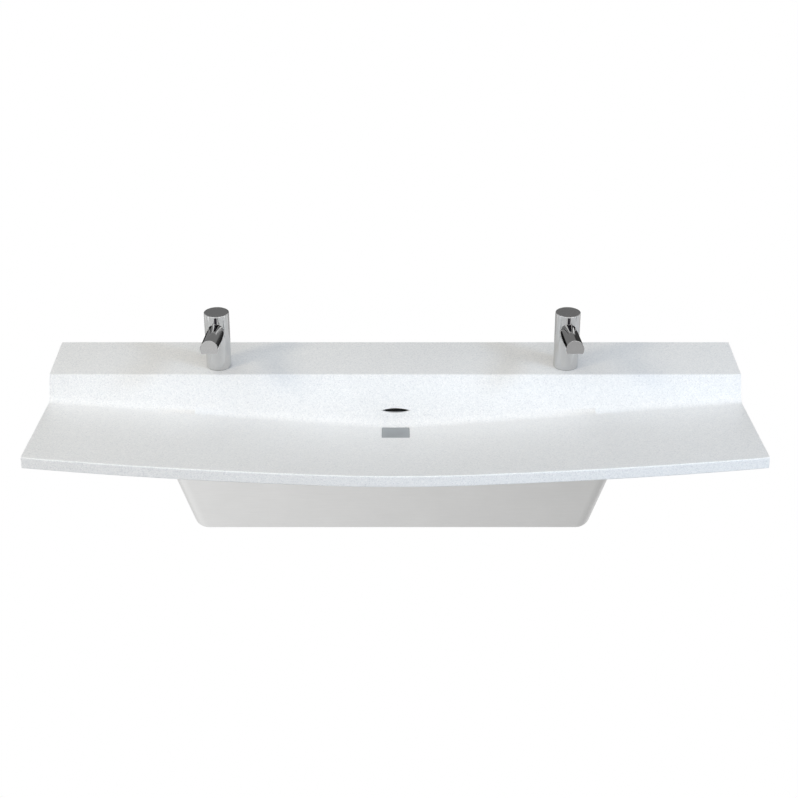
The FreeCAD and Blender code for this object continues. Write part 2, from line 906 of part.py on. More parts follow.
def faucet_x(sign):
    return centre_x + s.faucet_spacing * sign / 2


def deck_screw_places():
    places = []
    for sign in (-1, 1):
        places.append(s.deck_screw_inner * sign)
        places.append(s.deck_screw_outer * sign)
    return places


def panel_screw_places():
    places = []
    for sign in (-1, 1):
        places.append(centre_x + s.panel_screw_inner * sign)
        places.append(centre_x + s.panel_screw_outer * sign)
    return places


def enclosure_half(drop):
    """Half width of the enclosure at a drop, on its outer face."""
    return s.enclosure_half_base + tan(s.enclosure_flare) * (s.enclosure_bottom_drop - drop)


def security_screw_x(sign):
    reach = enclosure_half(s.security_screw_drop) + s.flange_width / 2
    return centre_x + reach * sign


# Wall frame: the bolted rail, two arms under the basin and the service panel
def make_frame():
    rail_blank = side_plate(
        "rail_blank", -s.rail_half_length, s.rail_half_length * 2,
        [(0, s.slab_thickness), (s.rail_flange, s.slab_thickness),
         (s.rail_flange, s.slab_thickness + s.rail_thickness),
         (s.rail_thickness, s.slab_thickness + s.rail_thickness),
         (s.rail_thickness, s.rail_bottom_drop), (0, s.rail_bottom_drop)])
    tools = []
    for column in (-1, 1):
        for row in (-1, 1):
            spot = at(s.bolt_spacing * column / 2, -s.overrun,
                      s.ledge_height + s.bolt_rise * row / 2)
            tools.append(rod(f"bolt_hole{column}_{row}", spot, "front", s.bolt_hole_radius,
                             s.overrun * 2))
    for index, x in enumerate(deck_screw_places()):
        spot = at(x, s.deck_screw_depth, s.slab_thickness + s.overrun)
        tools.append(rod(f"rail_hole{index}", spot, "up",
                         s.deck_screw_radius + s.deck_screw_clearance, s.overrun * 2))
    for index, x in enumerate(panel_screw_places()):
        tools.append(rod(f"rail_thread{index}", at(x, -s.overrun, s.panel_screw_drop), "front",
                         s.small_screw_radius + s.small_screw_clearance, s.overrun * 2))
    for side, sign in SIDES:
        spot = at(security_screw_x(sign), -s.overrun, s.security_screw_drop)
        tools.append(rod(f"rail_socket_{side}", spot, "front",
                         s.security_screw_radius + s.security_screw_clearance, s.overrun * 2))
    node("wall_rail", cut("rail", rail_blank, tools))

    room = room_under_deck("arm_room", s.arm_clearance)
    for side, sign in SIDES:
        start = s.arm_spacing * sign / 2 - s.arm_thickness / 2
        top = s.slab_thickness + s.rail_thickness
        plate = side_plate(
            f"arm_plate_{side}", start, s.arm_thickness,
            [(s.rail_thickness, top), (s.rail_flange, top), (s.rail_flange, s.ledge_edge_radius),
             (s.arm_reach, s.ledge_edge_radius), (s.arm_reach, s.arm_tip_drop),
             (s.arm_knee_depth, s.arm_knee_drop), (s.rail_thickness, s.rail_bottom_drop)])
        node(f"support_arm_{side}", common(f"arm_{side}", [plate, room]))

    screws = []
    for index, x in enumerate(deck_screw_places()):
        flange_under = s.slab_thickness + s.rail_thickness
        head = hexagon(f"deck_head{index}", at(x, s.deck_screw_depth, flange_under), "down",
                       s.deck_screw_head, s.deck_screw_head_height)
        shank = rod(f"deck_shank{index}", at(x, s.deck_screw_depth, flange_under), "up",
                    s.deck_screw_radius, s.rail_thickness + s.deck_screw_bite)
        screws.append(fuse(f"deck_screw{index}", [head, shank]))
    node("deck_screws", group("deck_screw_set", screws))


def panel_face():
    """Depth of the service panel's front face."""
    return s.rail_thickness + s.panel_thickness


def ear_plate(name, x, foot_depth, foot_drop, under_drop):
    """One hinge ear with its corner at the pin, from a foot on the panel or the floor."""
    outer = s.hinge_depth + s.ear_margin
    return side_plate(name, x, s.ear_thickness, [
        (foot_depth, s.hinge_drop - s.ear_margin * 2), (outer, s.hinge_drop - s.ear_margin),
        (outer, under_drop), (s.hinge_depth - s.ear_margin / 2, under_drop),
        (foot_depth, foot_drop)])


def make_panel():
    front = panel_face()
    sheet_body = side_plate(
        "panel_sheet", centre_x - s.panel_half_width, s.panel_half_width * 2,
        [(s.rail_thickness, s.panel_top_drop), (front, s.panel_top_drop),
         (front, s.panel_bottom_drop), (0, s.panel_bottom_drop),
         (0, s.panel_bottom_drop - s.panel_thickness),
         (s.rail_thickness, s.panel_bottom_drop - s.panel_thickness)])
    pieces = [sheet_body]
    tools = []
    for side, sign in SIDES:
        inner = centre_x + s.hinge_half_spacing * sign - s.ear_thickness / 2
        pieces.append(ear_plate(f"panel_ear_{side}", inner, front, s.panel_bottom_drop,
                                s.hinge_drop + s.ear_margin))
        bore_start = moved(hinge_spot(sign), "left", s.overrun)
        tools.append(rod(f"panel_ear_bore_{side}", bore_start, "right",
                         s.hinge_pin_radius + s.hinge_clearance, s.overrun * 2))
    tools.append(rod("arm_hole", at(drain_x, 0, trap_arm_drop), "front",
                     s.arm_hole_radius, s.overrun))
    for side, sign in SIDES:
        spot = at(centre_x + s.stop_spacing * sign / 2, 0, s.stop_drop)
        tools.append(rod(f"stop_hole_{side}", spot, "front", s.stop_hole_radius, s.overrun))
    screws = []
    for index, x in enumerate(panel_screw_places()):
        tools.append(rod(f"panel_hole{index}", at(x, 0, s.panel_screw_drop), "front",
                         s.small_screw_radius + s.small_screw_clearance, s.overrun))
        head = rod(f"panel_head{index}", at(x, front, s.panel_screw_drop), "front",
                   s.small_screw_head, s.small_screw_head_height)
        shank = rod(f"panel_shank{index}", at(x, front, s.panel_screw_drop), "back",
                    s.small_screw_radius, front)
        screws.append(fuse(f"panel_screw{index}", [head, shank]))
    node("service_panel", cut("panel", fuse("panel_pieces", pieces), tools))
    node("panel_screws", group("panel_screw_set", screws))


def hinge_spot(sign):
    """The middle of a panel ear, on the hinge line."""
    return at(centre_x + s.hinge_half_spacing * sign, s.hinge_depth, s.hinge_drop)


def make_hinge_pins():
    pins = []
    for side, sign in SIDES:
        inward = OPPOSITE[side]
        inner_face = moved(hinge_spot(sign), inward, s.ear_thickness / 2)
        length = s.ear_thickness * 2 + s.ear_gap + s.pin_tail
        shank = rod(f"pin_shank_{side}", inner_face, side, s.hinge_pin_radius, length)
        head = rod(f"pin_head_{side}", inner_face, inward, s.hinge_head_radius,
                   s.hinge_head_thickness)
        pins.append(fuse(f"hinge_pin_{side}", [shank, head]))
    node("hinge_pins", group("hinge_pin_set", pins))


# Trap enclosure: a raked, flared shell open at its top and back
def enclosure_form(name, inset):
    """The enclosure's outer form, or the room inside it, drawn in by a wall."""
    flare = tan(s.enclosure_flare)
    rake = tan(s.enclosure_rake)
    bottom = s.enclosure_bottom_drop - inset
    top = s.enclosure_blank_drop - inset
    pull = inset / cos(s.enclosure_flare)
    low_half = s.enclosure_half_base + flare * inset - pull
    high_half = low_half + flare * (bottom - top)
    back = s.enclosure_back_depth - inset
    low_front = s.enclosure_front_depth + rake * inset - inset / cos(s.enclosure_rake)
    high_front = low_front + rake * (bottom - top)
    across = front_plate(
        f"{name}_across", back, high_front + s.overrun,
        [(centre_x - low_half, bottom), (centre_x + low_half, bottom),
         (centre_x + high_half, top), (centre_x - high_half, top)])
    reach = high_half + s.overrun
    along = side_plate(
        f"{name}_along", centre_x - reach, reach * 2,
        [(back, bottom), (low_front, bottom), (high_front, top), (back, top)])
    sharp = common(f"{name}_sharp", [across, along])
    doc.recompute()
    corner = s.enclosure_corner_radius - inset
    upright = [(index, corner.value, corner.value)
               for index, edge in enumerate(sharp.Shape.Edges, start=1)
               if is_front_corner(edge, low_front.value)]
    rounded = doc.addObject("Part::Fillet", f"{name}_corners")
    rounded.Base = sharp
    rounded.Edges = upright
    doc.recompute()
    side_radius = (s.enclosure_side_radius - inset).value
    toe_radius = (s.enclosure_toe_radius - inset).value
    low = []
    for index, edge in enumerate(rounded.Shape.Edges, start=1):
        ends = [vertex.Point for vertex in edge.Vertexes]
        floor = (s.ledge_height - bottom).value
        if max(abs(end.z - floor) for end in ends) > TOUCH:
            continue
        turn = (ends[0] - ends[-1])
        if abs(turn.y) < TOUCH:
            if -ends[0].y > s.enclosure_front_depth.value / 2:
                low.append((index, toe_radius, toe_radius))
        elif abs(turn.x) < TOUCH:
            low.append((index, side_radius, side_radius))
        else:
            start, end = edge.valueAt(edge.FirstParameter), edge.valueAt(edge.LastParameter)
            radii = (toe_radius, side_radius) if start.y < end.y else (side_radius, toe_radius)
            low.append((index,) + radii)
    form = doc.addObject("Part::Fillet", name)
    form.Base = rounded
    form.Edges = low
    doc.recompute()
    return form


def is_front_corner(edge, low_front):
    """The two slanting edges between the front face and the sides."""
    ends = [vertex.Point for vertex in edge.Vertexes]
    rises = abs(ends[0].z - ends[-1].z) > s.overrun.value
    return rises and min(-end.y for end in ends) > low_front - TOUCH


def make_enclosure():
    outer = enclosure_form("enclosure_outer", size(0))
    inner = enclosure_form("enclosure_inner", s.enclosure_skin)
    shell = cut("enclosure_shell", outer, [inner])
    reach = enclosure_half(size(0)) + s.overrun * 3
    flange_outlines = []
    for sign in (-1, 1):
        corners = []
        for drop, width in ((s.enclosure_rear_top_drop, -s.enclosure_skin / 2),
                            (s.enclosure_rear_top_drop, s.flange_width),
                            (s.flange_foot_drop, s.flange_width),
                            (s.flange_foot_drop, -s.enclosure_skin / 2)):
            corners.append((centre_x + (enclosure_half(drop) + width) * sign, drop))
        flange_outlines.append(corners)
    flanges = front_plate("enclosure_flanges", s.enclosure_back_depth, s.enclosure_skin,
                          *flange_outlines)
    room = room_under_deck("enclosure_room", s.enclosure_gap)
    rear_top = block("rear_top", (centre_x - reach, centre_x + reach),
                     (-s.overrun, s.enclosure_step_depth), (size(0), s.enclosure_rear_top_drop))
    notch_half = s.enclosure_half_base - s.floor_notch_inset
    notch = block("floor_notch", span(centre_x, notch_half), (size(0), s.floor_notch_depth),
                  (s.hinge_drop, s.enclosure_bottom_drop + s.overrun))
    slots = []
    for side, sign in SIDES:
        panel_ear = centre_x + s.hinge_half_spacing * sign
        inner = panel_ear - (s.ear_thickness / 2 + s.ear_slot_gap) * sign
        outer = panel_ear + (s.ear_thickness / 2 + s.ear_gap / 2) * sign
        slots.append(block(f"ear_slot_{side}", (inner, outer) if sign > 0 else (outer, inner),
                           (size(0), s.hinge_depth + s.ear_margin + s.ear_slot_gap),
                           (s.hinge_drop, s.enclosure_bottom_drop + s.overrun)))
    trimmed = cut("enclosure_trimmed", common("enclosure_under", [shell, room]),
                  [rear_top, notch] + slots)
    ears = []
    bores = []
    floor_top = s.enclosure_bottom_drop - s.enclosure_skin / 2
    for side, sign in SIDES:
        offset = s.hinge_half_spacing + s.ear_thickness + s.ear_gap
        start = centre_x + offset * sign - s.ear_thickness / 2
        low, high = span(s.hinge_depth, s.ear_margin)
        ears.append(side_plate(f"floor_ear_{side}", start, s.ear_thickness, [
            (low, s.hinge_drop - s.ear_margin), (high, s.hinge_drop - s.ear_margin),
            (high, floor_top), (low, floor_top)]))
        bore_start = moved(hinge_spot(sign), "left", s.overrun)
        bores.append(rod(f"floor_ear_bore_{side}", bore_start, "right",
                         s.hinge_pin_radius + s.hinge_clearance, s.overrun * 2))
        spot = at(security_screw_x(sign), -s.overrun, s.security_screw_drop)
        bores.append(rod(f"flange_hole_{side}", spot, "front",
                         s.security_screw_radius + s.small_screw_clearance, s.overrun * 2))
    body = fuse("enclosure_pieces", [trimmed, flanges] + ears)
    node("trap_enclosure", cut("enclosure", body, bores))

    screws = []
    head_depth = s.enclosure_back_depth + s.enclosure_skin
    for side, sign in SIDES:
        spot = at(security_screw_x(sign), head_depth, s.security_screw_drop)
        shank = rod(f"security_shank_{side}", spot, "back", s.security_screw_radius,
                    s.security_screw_length)
        head = turned(f"security_head_{side}", spot, "front", [
            (0, 0), (s.security_screw_head, 0),
            (s.security_screw_head, s.security_screw_head_height / 3),
            (s.security_screw_head / 2, s.security_screw_head_height),
            (0, s.security_screw_head_height)])
        screws.append(fuse(f"security_screw_{side}", [shank, head]))
    node("enclosure_screws", group("security_screw_set", screws))


# Drain cover, fitting and trap
def make_cover():
    plate = own_plate("cover_plate", s.cover_width, s.cover_length, s.cover_corner,
                      -s.cover_thickness, s.cover_thickness)
    doc.recompute()
    last = plate.Tip
    top = [f"Edge{i + 1}" for i, edge in enumerate(last.Shape.Edges)
           if min(vertex.Z for vertex in edge.Vertexes) > s.cover_thickness.value - TOUCH]
    bevel = plate.newObject("PartDesign::Chamfer", "cover_chamfer")
    bevel.Base = (last, top)
    bind(bevel, "Size", s.cover_bevel)
    legs = []
    for side, sign in SIDES:
        x = (s.sump_width / 2 - s.cover_leg_thickness - s.cover_gap) * sign
        low_x = x - s.cover_leg_thickness / 2
        low = (low_x, -s.cover_leg_length / 2, -s.cover_thickness - s.cover_leg_height)
        legs.append(own_block(f"cover_leg_{side}", low,
                              (s.cover_leg_thickness, s.cover_leg_length,
                               s.cover_leg_height + s.cover_thickness / 2)))
    doc.recompute()
    whole = fuse("cover_whole", [plate] + legs)
    whole.Placement = cover_place
    node("drain_cover", whole)


def make_drain():
    flange_top = s.sump_drop - s.drain_flange_thickness
    base = at(drain_x, s.drain_depth, s.drain_body_end_drop)
    length = s.drain_body_end_drop - s.sump_drop
    full = length + s.drain_flange_thickness
    seat = full - s.strainer_thickness
    ledge_bore = s.drain_body_bore - s.tube_wall
    node("drain_body", turned("drain_fitting", base, "up", [
        (s.drain_body_bore, 0), (s.drain_body_radius, 0), (s.drain_body_radius, length),
        (s.drain_flange_radius, length), (s.drain_flange_radius, full),
        (s.drain_body_bore + s.strainer_clearance * 2, full),
        (s.drain_body_bore + s.strainer_clearance * 2, seat), (ledge_bore, seat),
        (ledge_bore, seat - s.strainer_thickness),
        (s.drain_body_bore, seat - s.strainer_thickness)]))

    radius = s.drain_body_bore + s.strainer_clearance
    spot = at(drain_x, s.drain_depth, flange_top + s.strainer_thickness)
    disc = rod("strainer_disc", spot, "up", radius, s.strainer_thickness)
    holes = [rod("strainer_centre_hole", moved(spot, "down", s.overrun), "up",
                 s.strainer_hole_radius, s.overrun * 2)]
    for index in range(STRAINER_HOLES):
        turn = FULL_TURN * index / STRAINER_HOLES
        hole_spot = moved(spot, "down", s.overrun)
        hole_spot = moved(hole_spot, "right", s.strainer_ring_radius * round(cosine(turn), 9))
        hole_spot = moved(hole_spot, "back", s.strainer_ring_radius * round(sine(turn), 9))
        holes.append(rod(f"strainer_hole{index}", hole_spot, "up", s.strainer_hole_radius,
                         s.overrun * 2))
    node("drain_strainer", cut("strainer", disc, holes))

    nut_bore = s.drain_body_radius + s.thread_clearance
    boss_spot = at(drain_x, s.drain_depth, s.boss_drop)
    node("drain_gasket", ring("gasket", boss_spot, "down", nut_bore, s.gasket_radius,
                              s.gasket_thickness))
    nut_spot = moved(boss_spot, "down", s.gasket_thickness)
    blank = hexagon("locknut_blank", nut_spot, "down", s.locknut_corner_radius,
                    s.locknut_height)
    bore = rod("locknut_bore", moved(nut_spot, "up", s.overrun), "down", nut_bore,
               s.overrun * 2 + s.locknut_height)
    node("drain_locknut", cut("locknut", blank, [bore]))


def cosine(angle):
    return math.cos(math.radians(angle))


def sine(angle):
    return math.sin(math.radians(angle))


def slip_nut(name, end_spot, bore, cap_bore):
    """A slip nut round a tube's upper end, with a cap that closes on the smaller tube."""
    skirt = s.slip_nut_height - s.slip_nut_cap
    grip = s.slip_nut_radius - s.tube_wall
    foot = moved(end_spot, "down", skirt)
    return turned(name, foot, "up", [
        (bore, 0), (s.slip_nut_radius, 0), (s.slip_nut_radius, skirt),
        (grip, s.slip_nut_height), (cap_bore, s.slip_nut_height), (cap_bore, skirt),
        (bore, skirt)])


def make_trap():
    fit = s.thread_clearance
    tail_spot = at(drain_x, s.drain_depth, s.tail_bottom_drop)
    node("tailpiece", ring("tail", tail_spot, "up", s.tail_radius - s.tube_wall, s.tail_radius,
                           s.tail_bottom_drop - s.tail_top_drop))
    body_end = at(drain_x, s.drain_depth, s.drain_body_end_drop)
    tail_nut = slip_nut("tail_nut", body_end, s.drain_body_radius + fit, s.tail_radius + fit)
    tail_nut = place(tail_nut, moved(body_end, "up", s.slip_nut_height - s.slip_nut_cap),
                     TURNS["down"])
    node("tailpiece_nut", tail_nut)

    inlet = at(drain_x, s.drain_depth, s.trap_inlet_drop)
    node("trap_bend", u_tube("trap_u", inlet, s.trap_inlet_run, s.trap_outlet_run,
                             s.trap_spacing / 2, s.trap_radius, s.tube_wall))
    node("trap_inlet_nut", slip_nut("inlet_nut", inlet, s.trap_radius + fit,
                                    s.tail_radius + fit))

    outlet_depth = s.drain_depth - s.trap_spacing
    outlet = at(drain_x, outlet_depth, trap_outlet_drop)
    start = moved(outlet, "up", s.trap_joint_gap)
    rise = s.trap_arm_run + s.trap_arm_bend
    arm = bent_tube("arm_tube", start, [("up", rise), ("back", outlet_depth + s.trap_arm_reach)],
                    s.trap_arm_bend, s.trap_radius, s.tube_wall)
    stop_bead = ring("arm_bead", at(drain_x, 0, trap_arm_drop), "front",
                     s.trap_radius - s.tube_wall / 2, s.trap_radius + s.arm_bead_height,
                     s.arm_bead_width)
    node("trap_arm", fuse("arm", [arm, stop_bead]))
    node("trap_outlet_nut", slip_nut(
        "outlet_nut", moved(outlet, "up", s.slip_nut_cap / 2), s.trap_radius + fit,
        s.trap_radius + fit * 2))

    wall_spot = at(drain_x, panel_face(), trap_arm_drop)
    skin = s.escutcheon_skin
    collar = s.trap_radius + fit
    node("trap_escutcheon", turned("escutcheon", wall_spot, "front", [
        (s.escutcheon_radius - skin, 0), (s.escutcheon_radius, 0),
        (s.escutcheon_radius, skin), (collar + skin, s.escutcheon_depth),
        (collar, s.escutcheon_depth), (collar, s.escutcheon_depth - skin),
        (s.escutcheon_radius - skin, skin)]))


def u_tube(name, inlet, fall, climb, bend, radius, wall):
    """A tube straight down, round a half circle towards the wall, and straight up."""
    centre = moved(moved(inlet, "down", fall), "back", bend)
    return fuse(name, [
        tube_run(f"{name}_down", inlet, "down", fall, radius, wall),
        tube_bend(f"{name}_half", centre, ("down", "back"), HALF_TURN, bend, radius, wall),
        tube_run(f"{name}_up", moved(centre, "back", bend), "up", climb, radius, wall)])


def make_overflow():
    skin = s.housing_skin
    edge = s.slot_pocket_margin + s.housing_margin + skin
    top = s.slot_drop - s.slot_height / 2 - edge
    bottom = s.housing_bottom_drop
    width = s.slot_width + edge * 2
    left = drain_x - width / 2
    outer = side_plate("housing_outer", left, width, [
        (wall_back_depth(top), top), (wall_back_depth(bottom), bottom),
        (wall_back_depth(bottom) - s.housing_depth, bottom),
        (wall_back_depth(top) - s.housing_depth, top)])
    inner_top = top + skin
    inner_bottom = bottom - skin
    depth = s.housing_depth - skin
    hollow = side_plate("housing_hollow", left + skin, width - skin * 2, [
        (wall_back_depth(inner_top) + s.overrun, inner_top),
        (wall_back_depth(inner_bottom) + s.overrun, inner_bottom),
        (wall_back_depth(inner_bottom) - depth, inner_bottom),
        (wall_back_depth(inner_top) - depth, inner_top)])
    node("overflow_housing", cut("housing", outer, [hollow]))


# Faucets
def spout_turn():
    """The spout's own Z runs forward and rises."""
    return Rotation(Vector(1, 0, 0), QUARTER_TURN - s.spout_rise.value)


def make_faucet(side, sign):
    x = faucet_x(sign)
    foot = at(x, s.faucet_depth, size(0))
    base = moved(foot, "up", s.foot_gasket_thickness)
    height = s.faucet_height - s.foot_gasket_thickness
    cap_well = s.cap_radius + s.cap_clearance
    bore = s.faucet_radius - s.faucet_wall
    top_plate = s.cap_thickness + s.faucet_wall
    blank = turned(f"faucet_blank_{side}", base, "up", [
        (0, s.faucet_wall), (bore, s.faucet_wall * 2),
        (bore, height - top_plate), (0, height - top_plate), (0, height - s.cap_thickness),
        (cap_well, height - s.cap_thickness), (cap_well, height),
        (s.faucet_radius - s.cap_clearance * 2, height),
        (s.faucet_radius, height - s.cap_clearance * 2), (s.faucet_radius, 0), (0, 0)])
    lens_hole = block(f"lens_hole_{side}", span(x, s.lens_width / 2 + s.cap_clearance / 2),
                      (s.faucet_depth + s.faucet_radius - s.lens_depth,
                       s.faucet_depth + s.faucet_radius + s.overrun),
                      (-s.lens_top_height - s.cap_clearance / 2,
                       -s.lens_top_height + s.lens_height + s.cap_clearance / 2))
    shank_spot = at(x, s.faucet_depth, s.shank_end_drop)
    shank_well = rod(f"shank_well_{side}", shank_spot, "up",
                     s.shank_radius + s.thread_clearance,
                     s.shank_end_drop + s.shank_top_height + s.thread_clearance)
    root = at(x, s.faucet_depth, -s.spout_root_height)
    waterway = rod(f"waterway_{side}", root, "up", s.waterway_radius, s.spout_reach)
    waterway.Placement.Rotation = spout_turn()
    node(f"faucet_body_{side}", cut(f"faucet_{side}", blank, [lens_hole, shank_well, waterway]))

    cap_spot = moved(foot, "up", s.faucet_height - s.cap_thickness)
    node(f"faucet_cap_{side}", ring_free(f"cap_{side}", cap_spot))
    make_spout(side, x, root)
    lens = block(f"lens_block_{side}", span(x, s.lens_width / 2),
                 (s.faucet_depth + s.faucet_radius - s.lens_depth,
                  s.faucet_depth + s.faucet_radius + s.overrun),
                 (-s.lens_top_height, -s.lens_top_height + s.lens_height))
    lens_limit = rod(f"lens_limit_{side}", foot, "up", s.faucet_radius + s.lens_proud,
                     s.faucet_height)
    node(f"sensor_lens_{side}", common(f"lens_{side}", [lens, lens_limit]))

    shank_length = s.shank_end_drop + s.shank_top_height
    node(f"faucet_shank_{side}", ring(f"shank_{side}", shank_spot, "up", s.shank_bore,
                                      s.shank_radius, shank_length))


def ring_free(name, spot):
    """The flat top disc with a broken edge."""
    edge = s.cap_clearance * 2
    return turned(name, spot, "up", [
        (0, 0), (s.cap_radius, 0), (s.cap_radius, s.cap_thickness - edge),
        (s.cap_radius - edge, s.cap_thickness), (0, s.cap_thickness)])


def make_spout(side, x, root):
    """A round-topped, flat-soled bar that rises from the body to a flat end."""
    half = square_root(s.spout_radius * s.spout_radius - s.spout_sole * s.spout_sole)
    body, sketch = sketched_body(f"spout_bar_{side}", "XY_Plane", [[
        (-half, -s.spout_sole), (half, -s.spout_sole, s.spout_radius),
        (0, s.spout_radius, s.spout_radius)]])
    pad = body.newObject("PartDesign::Pad", f"spout_pad_{side}")
    pad.Profile = sketch
    bind(pad, "Length", s.spout_reach)
    place(body, root, spout_turn())
    doc.recompute()
    rim = [f"Edge{i + 1}" for i, edge in enumerate(pad.Shape.Edges)
           if min(vertex.Z for vertex in edge.Vertexes) > s.spout_reach.value - TOUCH]
    soft = body.newObject("PartDesign::Fillet", f"spout_soft_{side}")
    soft.Base = (pad, rim)
    bind(soft, "Radius", s.spout_edge_radius)
    foot = at(x, s.faucet_depth, size(0))
    column = rod(f"spout_column_{side}", foot, "up", s.faucet_radius,
                 s.faucet_height + s.overrun * 2)
    turn = spout_turn()

    def on_spout(along, up):
        """A place on the spout's own axis, from its root, and above it."""
        offset = turn.multVec(Vector(0, up.value, along.value))
        return Vector(*[item.value for item in root]) + offset

    tip = s.spout_reach - s.aerator_inset
    facing = turn.multiply(Rotation(Vector(1, 0, 0), QUARTER_TURN))
    well = doc.addObject("Part::Cylinder", f"aerator_well_{side}")
    bind(well, "Radius", s.aerator_radius + s.aerator_clearance)
    bind(well, "Height", s.overrun)
    deep = s.aerator_sink - s.spout_sole
    well.Placement = Placement(on_spout(tip, deep), facing)
    drop_way = doc.addObject("Part::Cylinder", f"drop_way_{side}")
    bind(drop_way, "Radius", s.waterway_drop_radius)
    bind(drop_way, "Height", s.spout_sole)
    drop_way.Placement = Placement(on_spout(tip, size(0)), facing)
    waterway = rod(f"spout_way_{side}", root, "up", s.waterway_radius,
                   tip + s.waterway_radius)
    waterway.Placement.Rotation = turn
    node(f"faucet_spout_{side}", cut(f"spout_{side}", body, [column, well, drop_way, waterway]))

    shell = doc.addObject("Part::Cylinder", f"aerator_shell_{side}")
    bind(shell, "Radius", s.aerator_radius)
    bind(shell, "Height", s.aerator_height)
    hole = doc.addObject("Part::Cylinder", f"aerator_hole_{side}")
    bind(hole, "Radius", s.aerator_bore)
    bind(hole, "Height", s.aerator_sink)
    shell.Placement = Placement(on_spout(tip, deep), facing)
    low = s.aerator_sink - s.spout_sole - (s.aerator_height - s.aerator_sink) * 2
    hole.Placement = Placement(on_spout(tip, low), facing)
    node(f"aerator_{side}", cut(f"aerator_cup_{side}", shell, [hole]))


def make_faucets():
    gaskets = []
    washers = []
    nuts = []
    for side, sign in SIDES:
        make_faucet(side, sign)
        x = faucet_x(sign)
        foot = at(x, s.faucet_depth, size(0))
        fit = s.shank_radius + s.thread_clearance
        gaskets.append(ring(f"foot_gasket_{side}", foot, "up", fit,
                            s.faucet_radius - s.foot_gasket_inset, s.foot_gasket_thickness))
        under = at(x, s.faucet_depth, s.slab_thickness)
        washers.append(ring(f"washer_{side}", under, "down", fit, s.washer_radius,
                            s.washer_thickness))
        nut_spot = moved(under, "down", s.washer_thickness)
        blank = hexagon(f"shank_nut_blank_{side}", nut_spot, "down",
                        s.shank_nut_corner_radius, s.shank_nut_height)
        bore = rod(f"shank_nut_bore_{side}", moved(nut_spot, "up", s.overrun), "down", fit,
                   s.overrun * 2 + s.shank_nut_height)
        nuts.append(cut(f"shank_nut_{side}", blank, [bore]))
    node("faucet_gaskets", group("foot_gasket_set", gaskets))
    node("faucet_washers", group("washer_set", washers))
    node("faucet_nuts", group("shank_nut_set", nuts))


# Water line: stops, risers, mixing valve, tee, branches, solenoids and feeds
def line_nut(name, spot, way):
    """A hexagonal tube nut that starts at a port's face and runs one way."""
    blank = hexagon(f"{name}_blank", spot, way, s.line_nut_corner_radius, s.line_nut_height)
    bore = rod(f"{name}_bore", moved(spot, way, -s.overrun), way,
               s.line_radius + s.thread_clearance, s.overrun * 2 + s.line_nut_height)
    return cut(name, blank, [bore])


def make_stop(label, sign):
    """An angle stop: a socket for the wall's pipe, a port up and a handle in front."""
    x = centre_x + s.stop_spacing * sign / 2
    back = at(x, s.stop_back_depth, s.stop_drop)
    length = s.stop_front_depth - s.stop_back_depth
    barrel = rod(f"{label}_barrel", back, "front", s.stop_radius, length)
    port_spot = at(x, s.line_depth, s.stop_drop)
    rise = s.stop_radius + s.stop_port_rise
    port = rod(f"{label}_port", port_spot, "up", s.stop_port_radius, rise)
    front = at(x, s.stop_front_depth, s.stop_drop)
    stem = rod(f"{label}_stem", front, "front", s.stem_radius, s.stem_length)
    socket = rod(f"{label}_socket", moved(back, "back", s.overrun), "front",
                 s.stop_socket_radius, s.overrun + s.stop_socket_length)
    water = s.line_radius - s.line_wall
    through = rod(f"{label}_through", back, "front", water, s.line_depth - s.stop_back_depth)
    riser_way = rod(f"{label}_way", port_spot, "up", water, rise + s.overrun)
    body = fuse(f"{label}_body", [barrel, port, stem])
    node(label, cut(f"{label}_valve", body, [socket, through, riser_way]))
    make_stop_handle(f"{label}_handle", moved(front, "front", s.handle_gap))
    return moved(port_spot, "up", rise)


def make_stop_handle(label, spot):
    """An oval handle that turns on the stem."""
    half_length = s.handle_half_length
    half_height = s.handle_half_height
    bow = (half_length * half_length + half_height * half_height) / (half_height * 2)
    body, sketch = sketched_body(f"{label}_oval", "XY_Plane", [[
        (-half_length, 0, bow), (half_length, 0, bow)]])
    pad = body.newObject("PartDesign::Pad", f"{label}_pad")
    pad.Profile = sketch
    bind(pad, "Length", s.handle_thickness)
    place(body, spot, TURNS["front"])
    bore = rod(f"{label}_bore", moved(spot, "back", s.overrun), "front",
               s.stem_radius + s.stem_clearance, s.overrun * 2 + s.handle_thickness)
    node(label, cut(f"{label}_grip", body, [bore]))


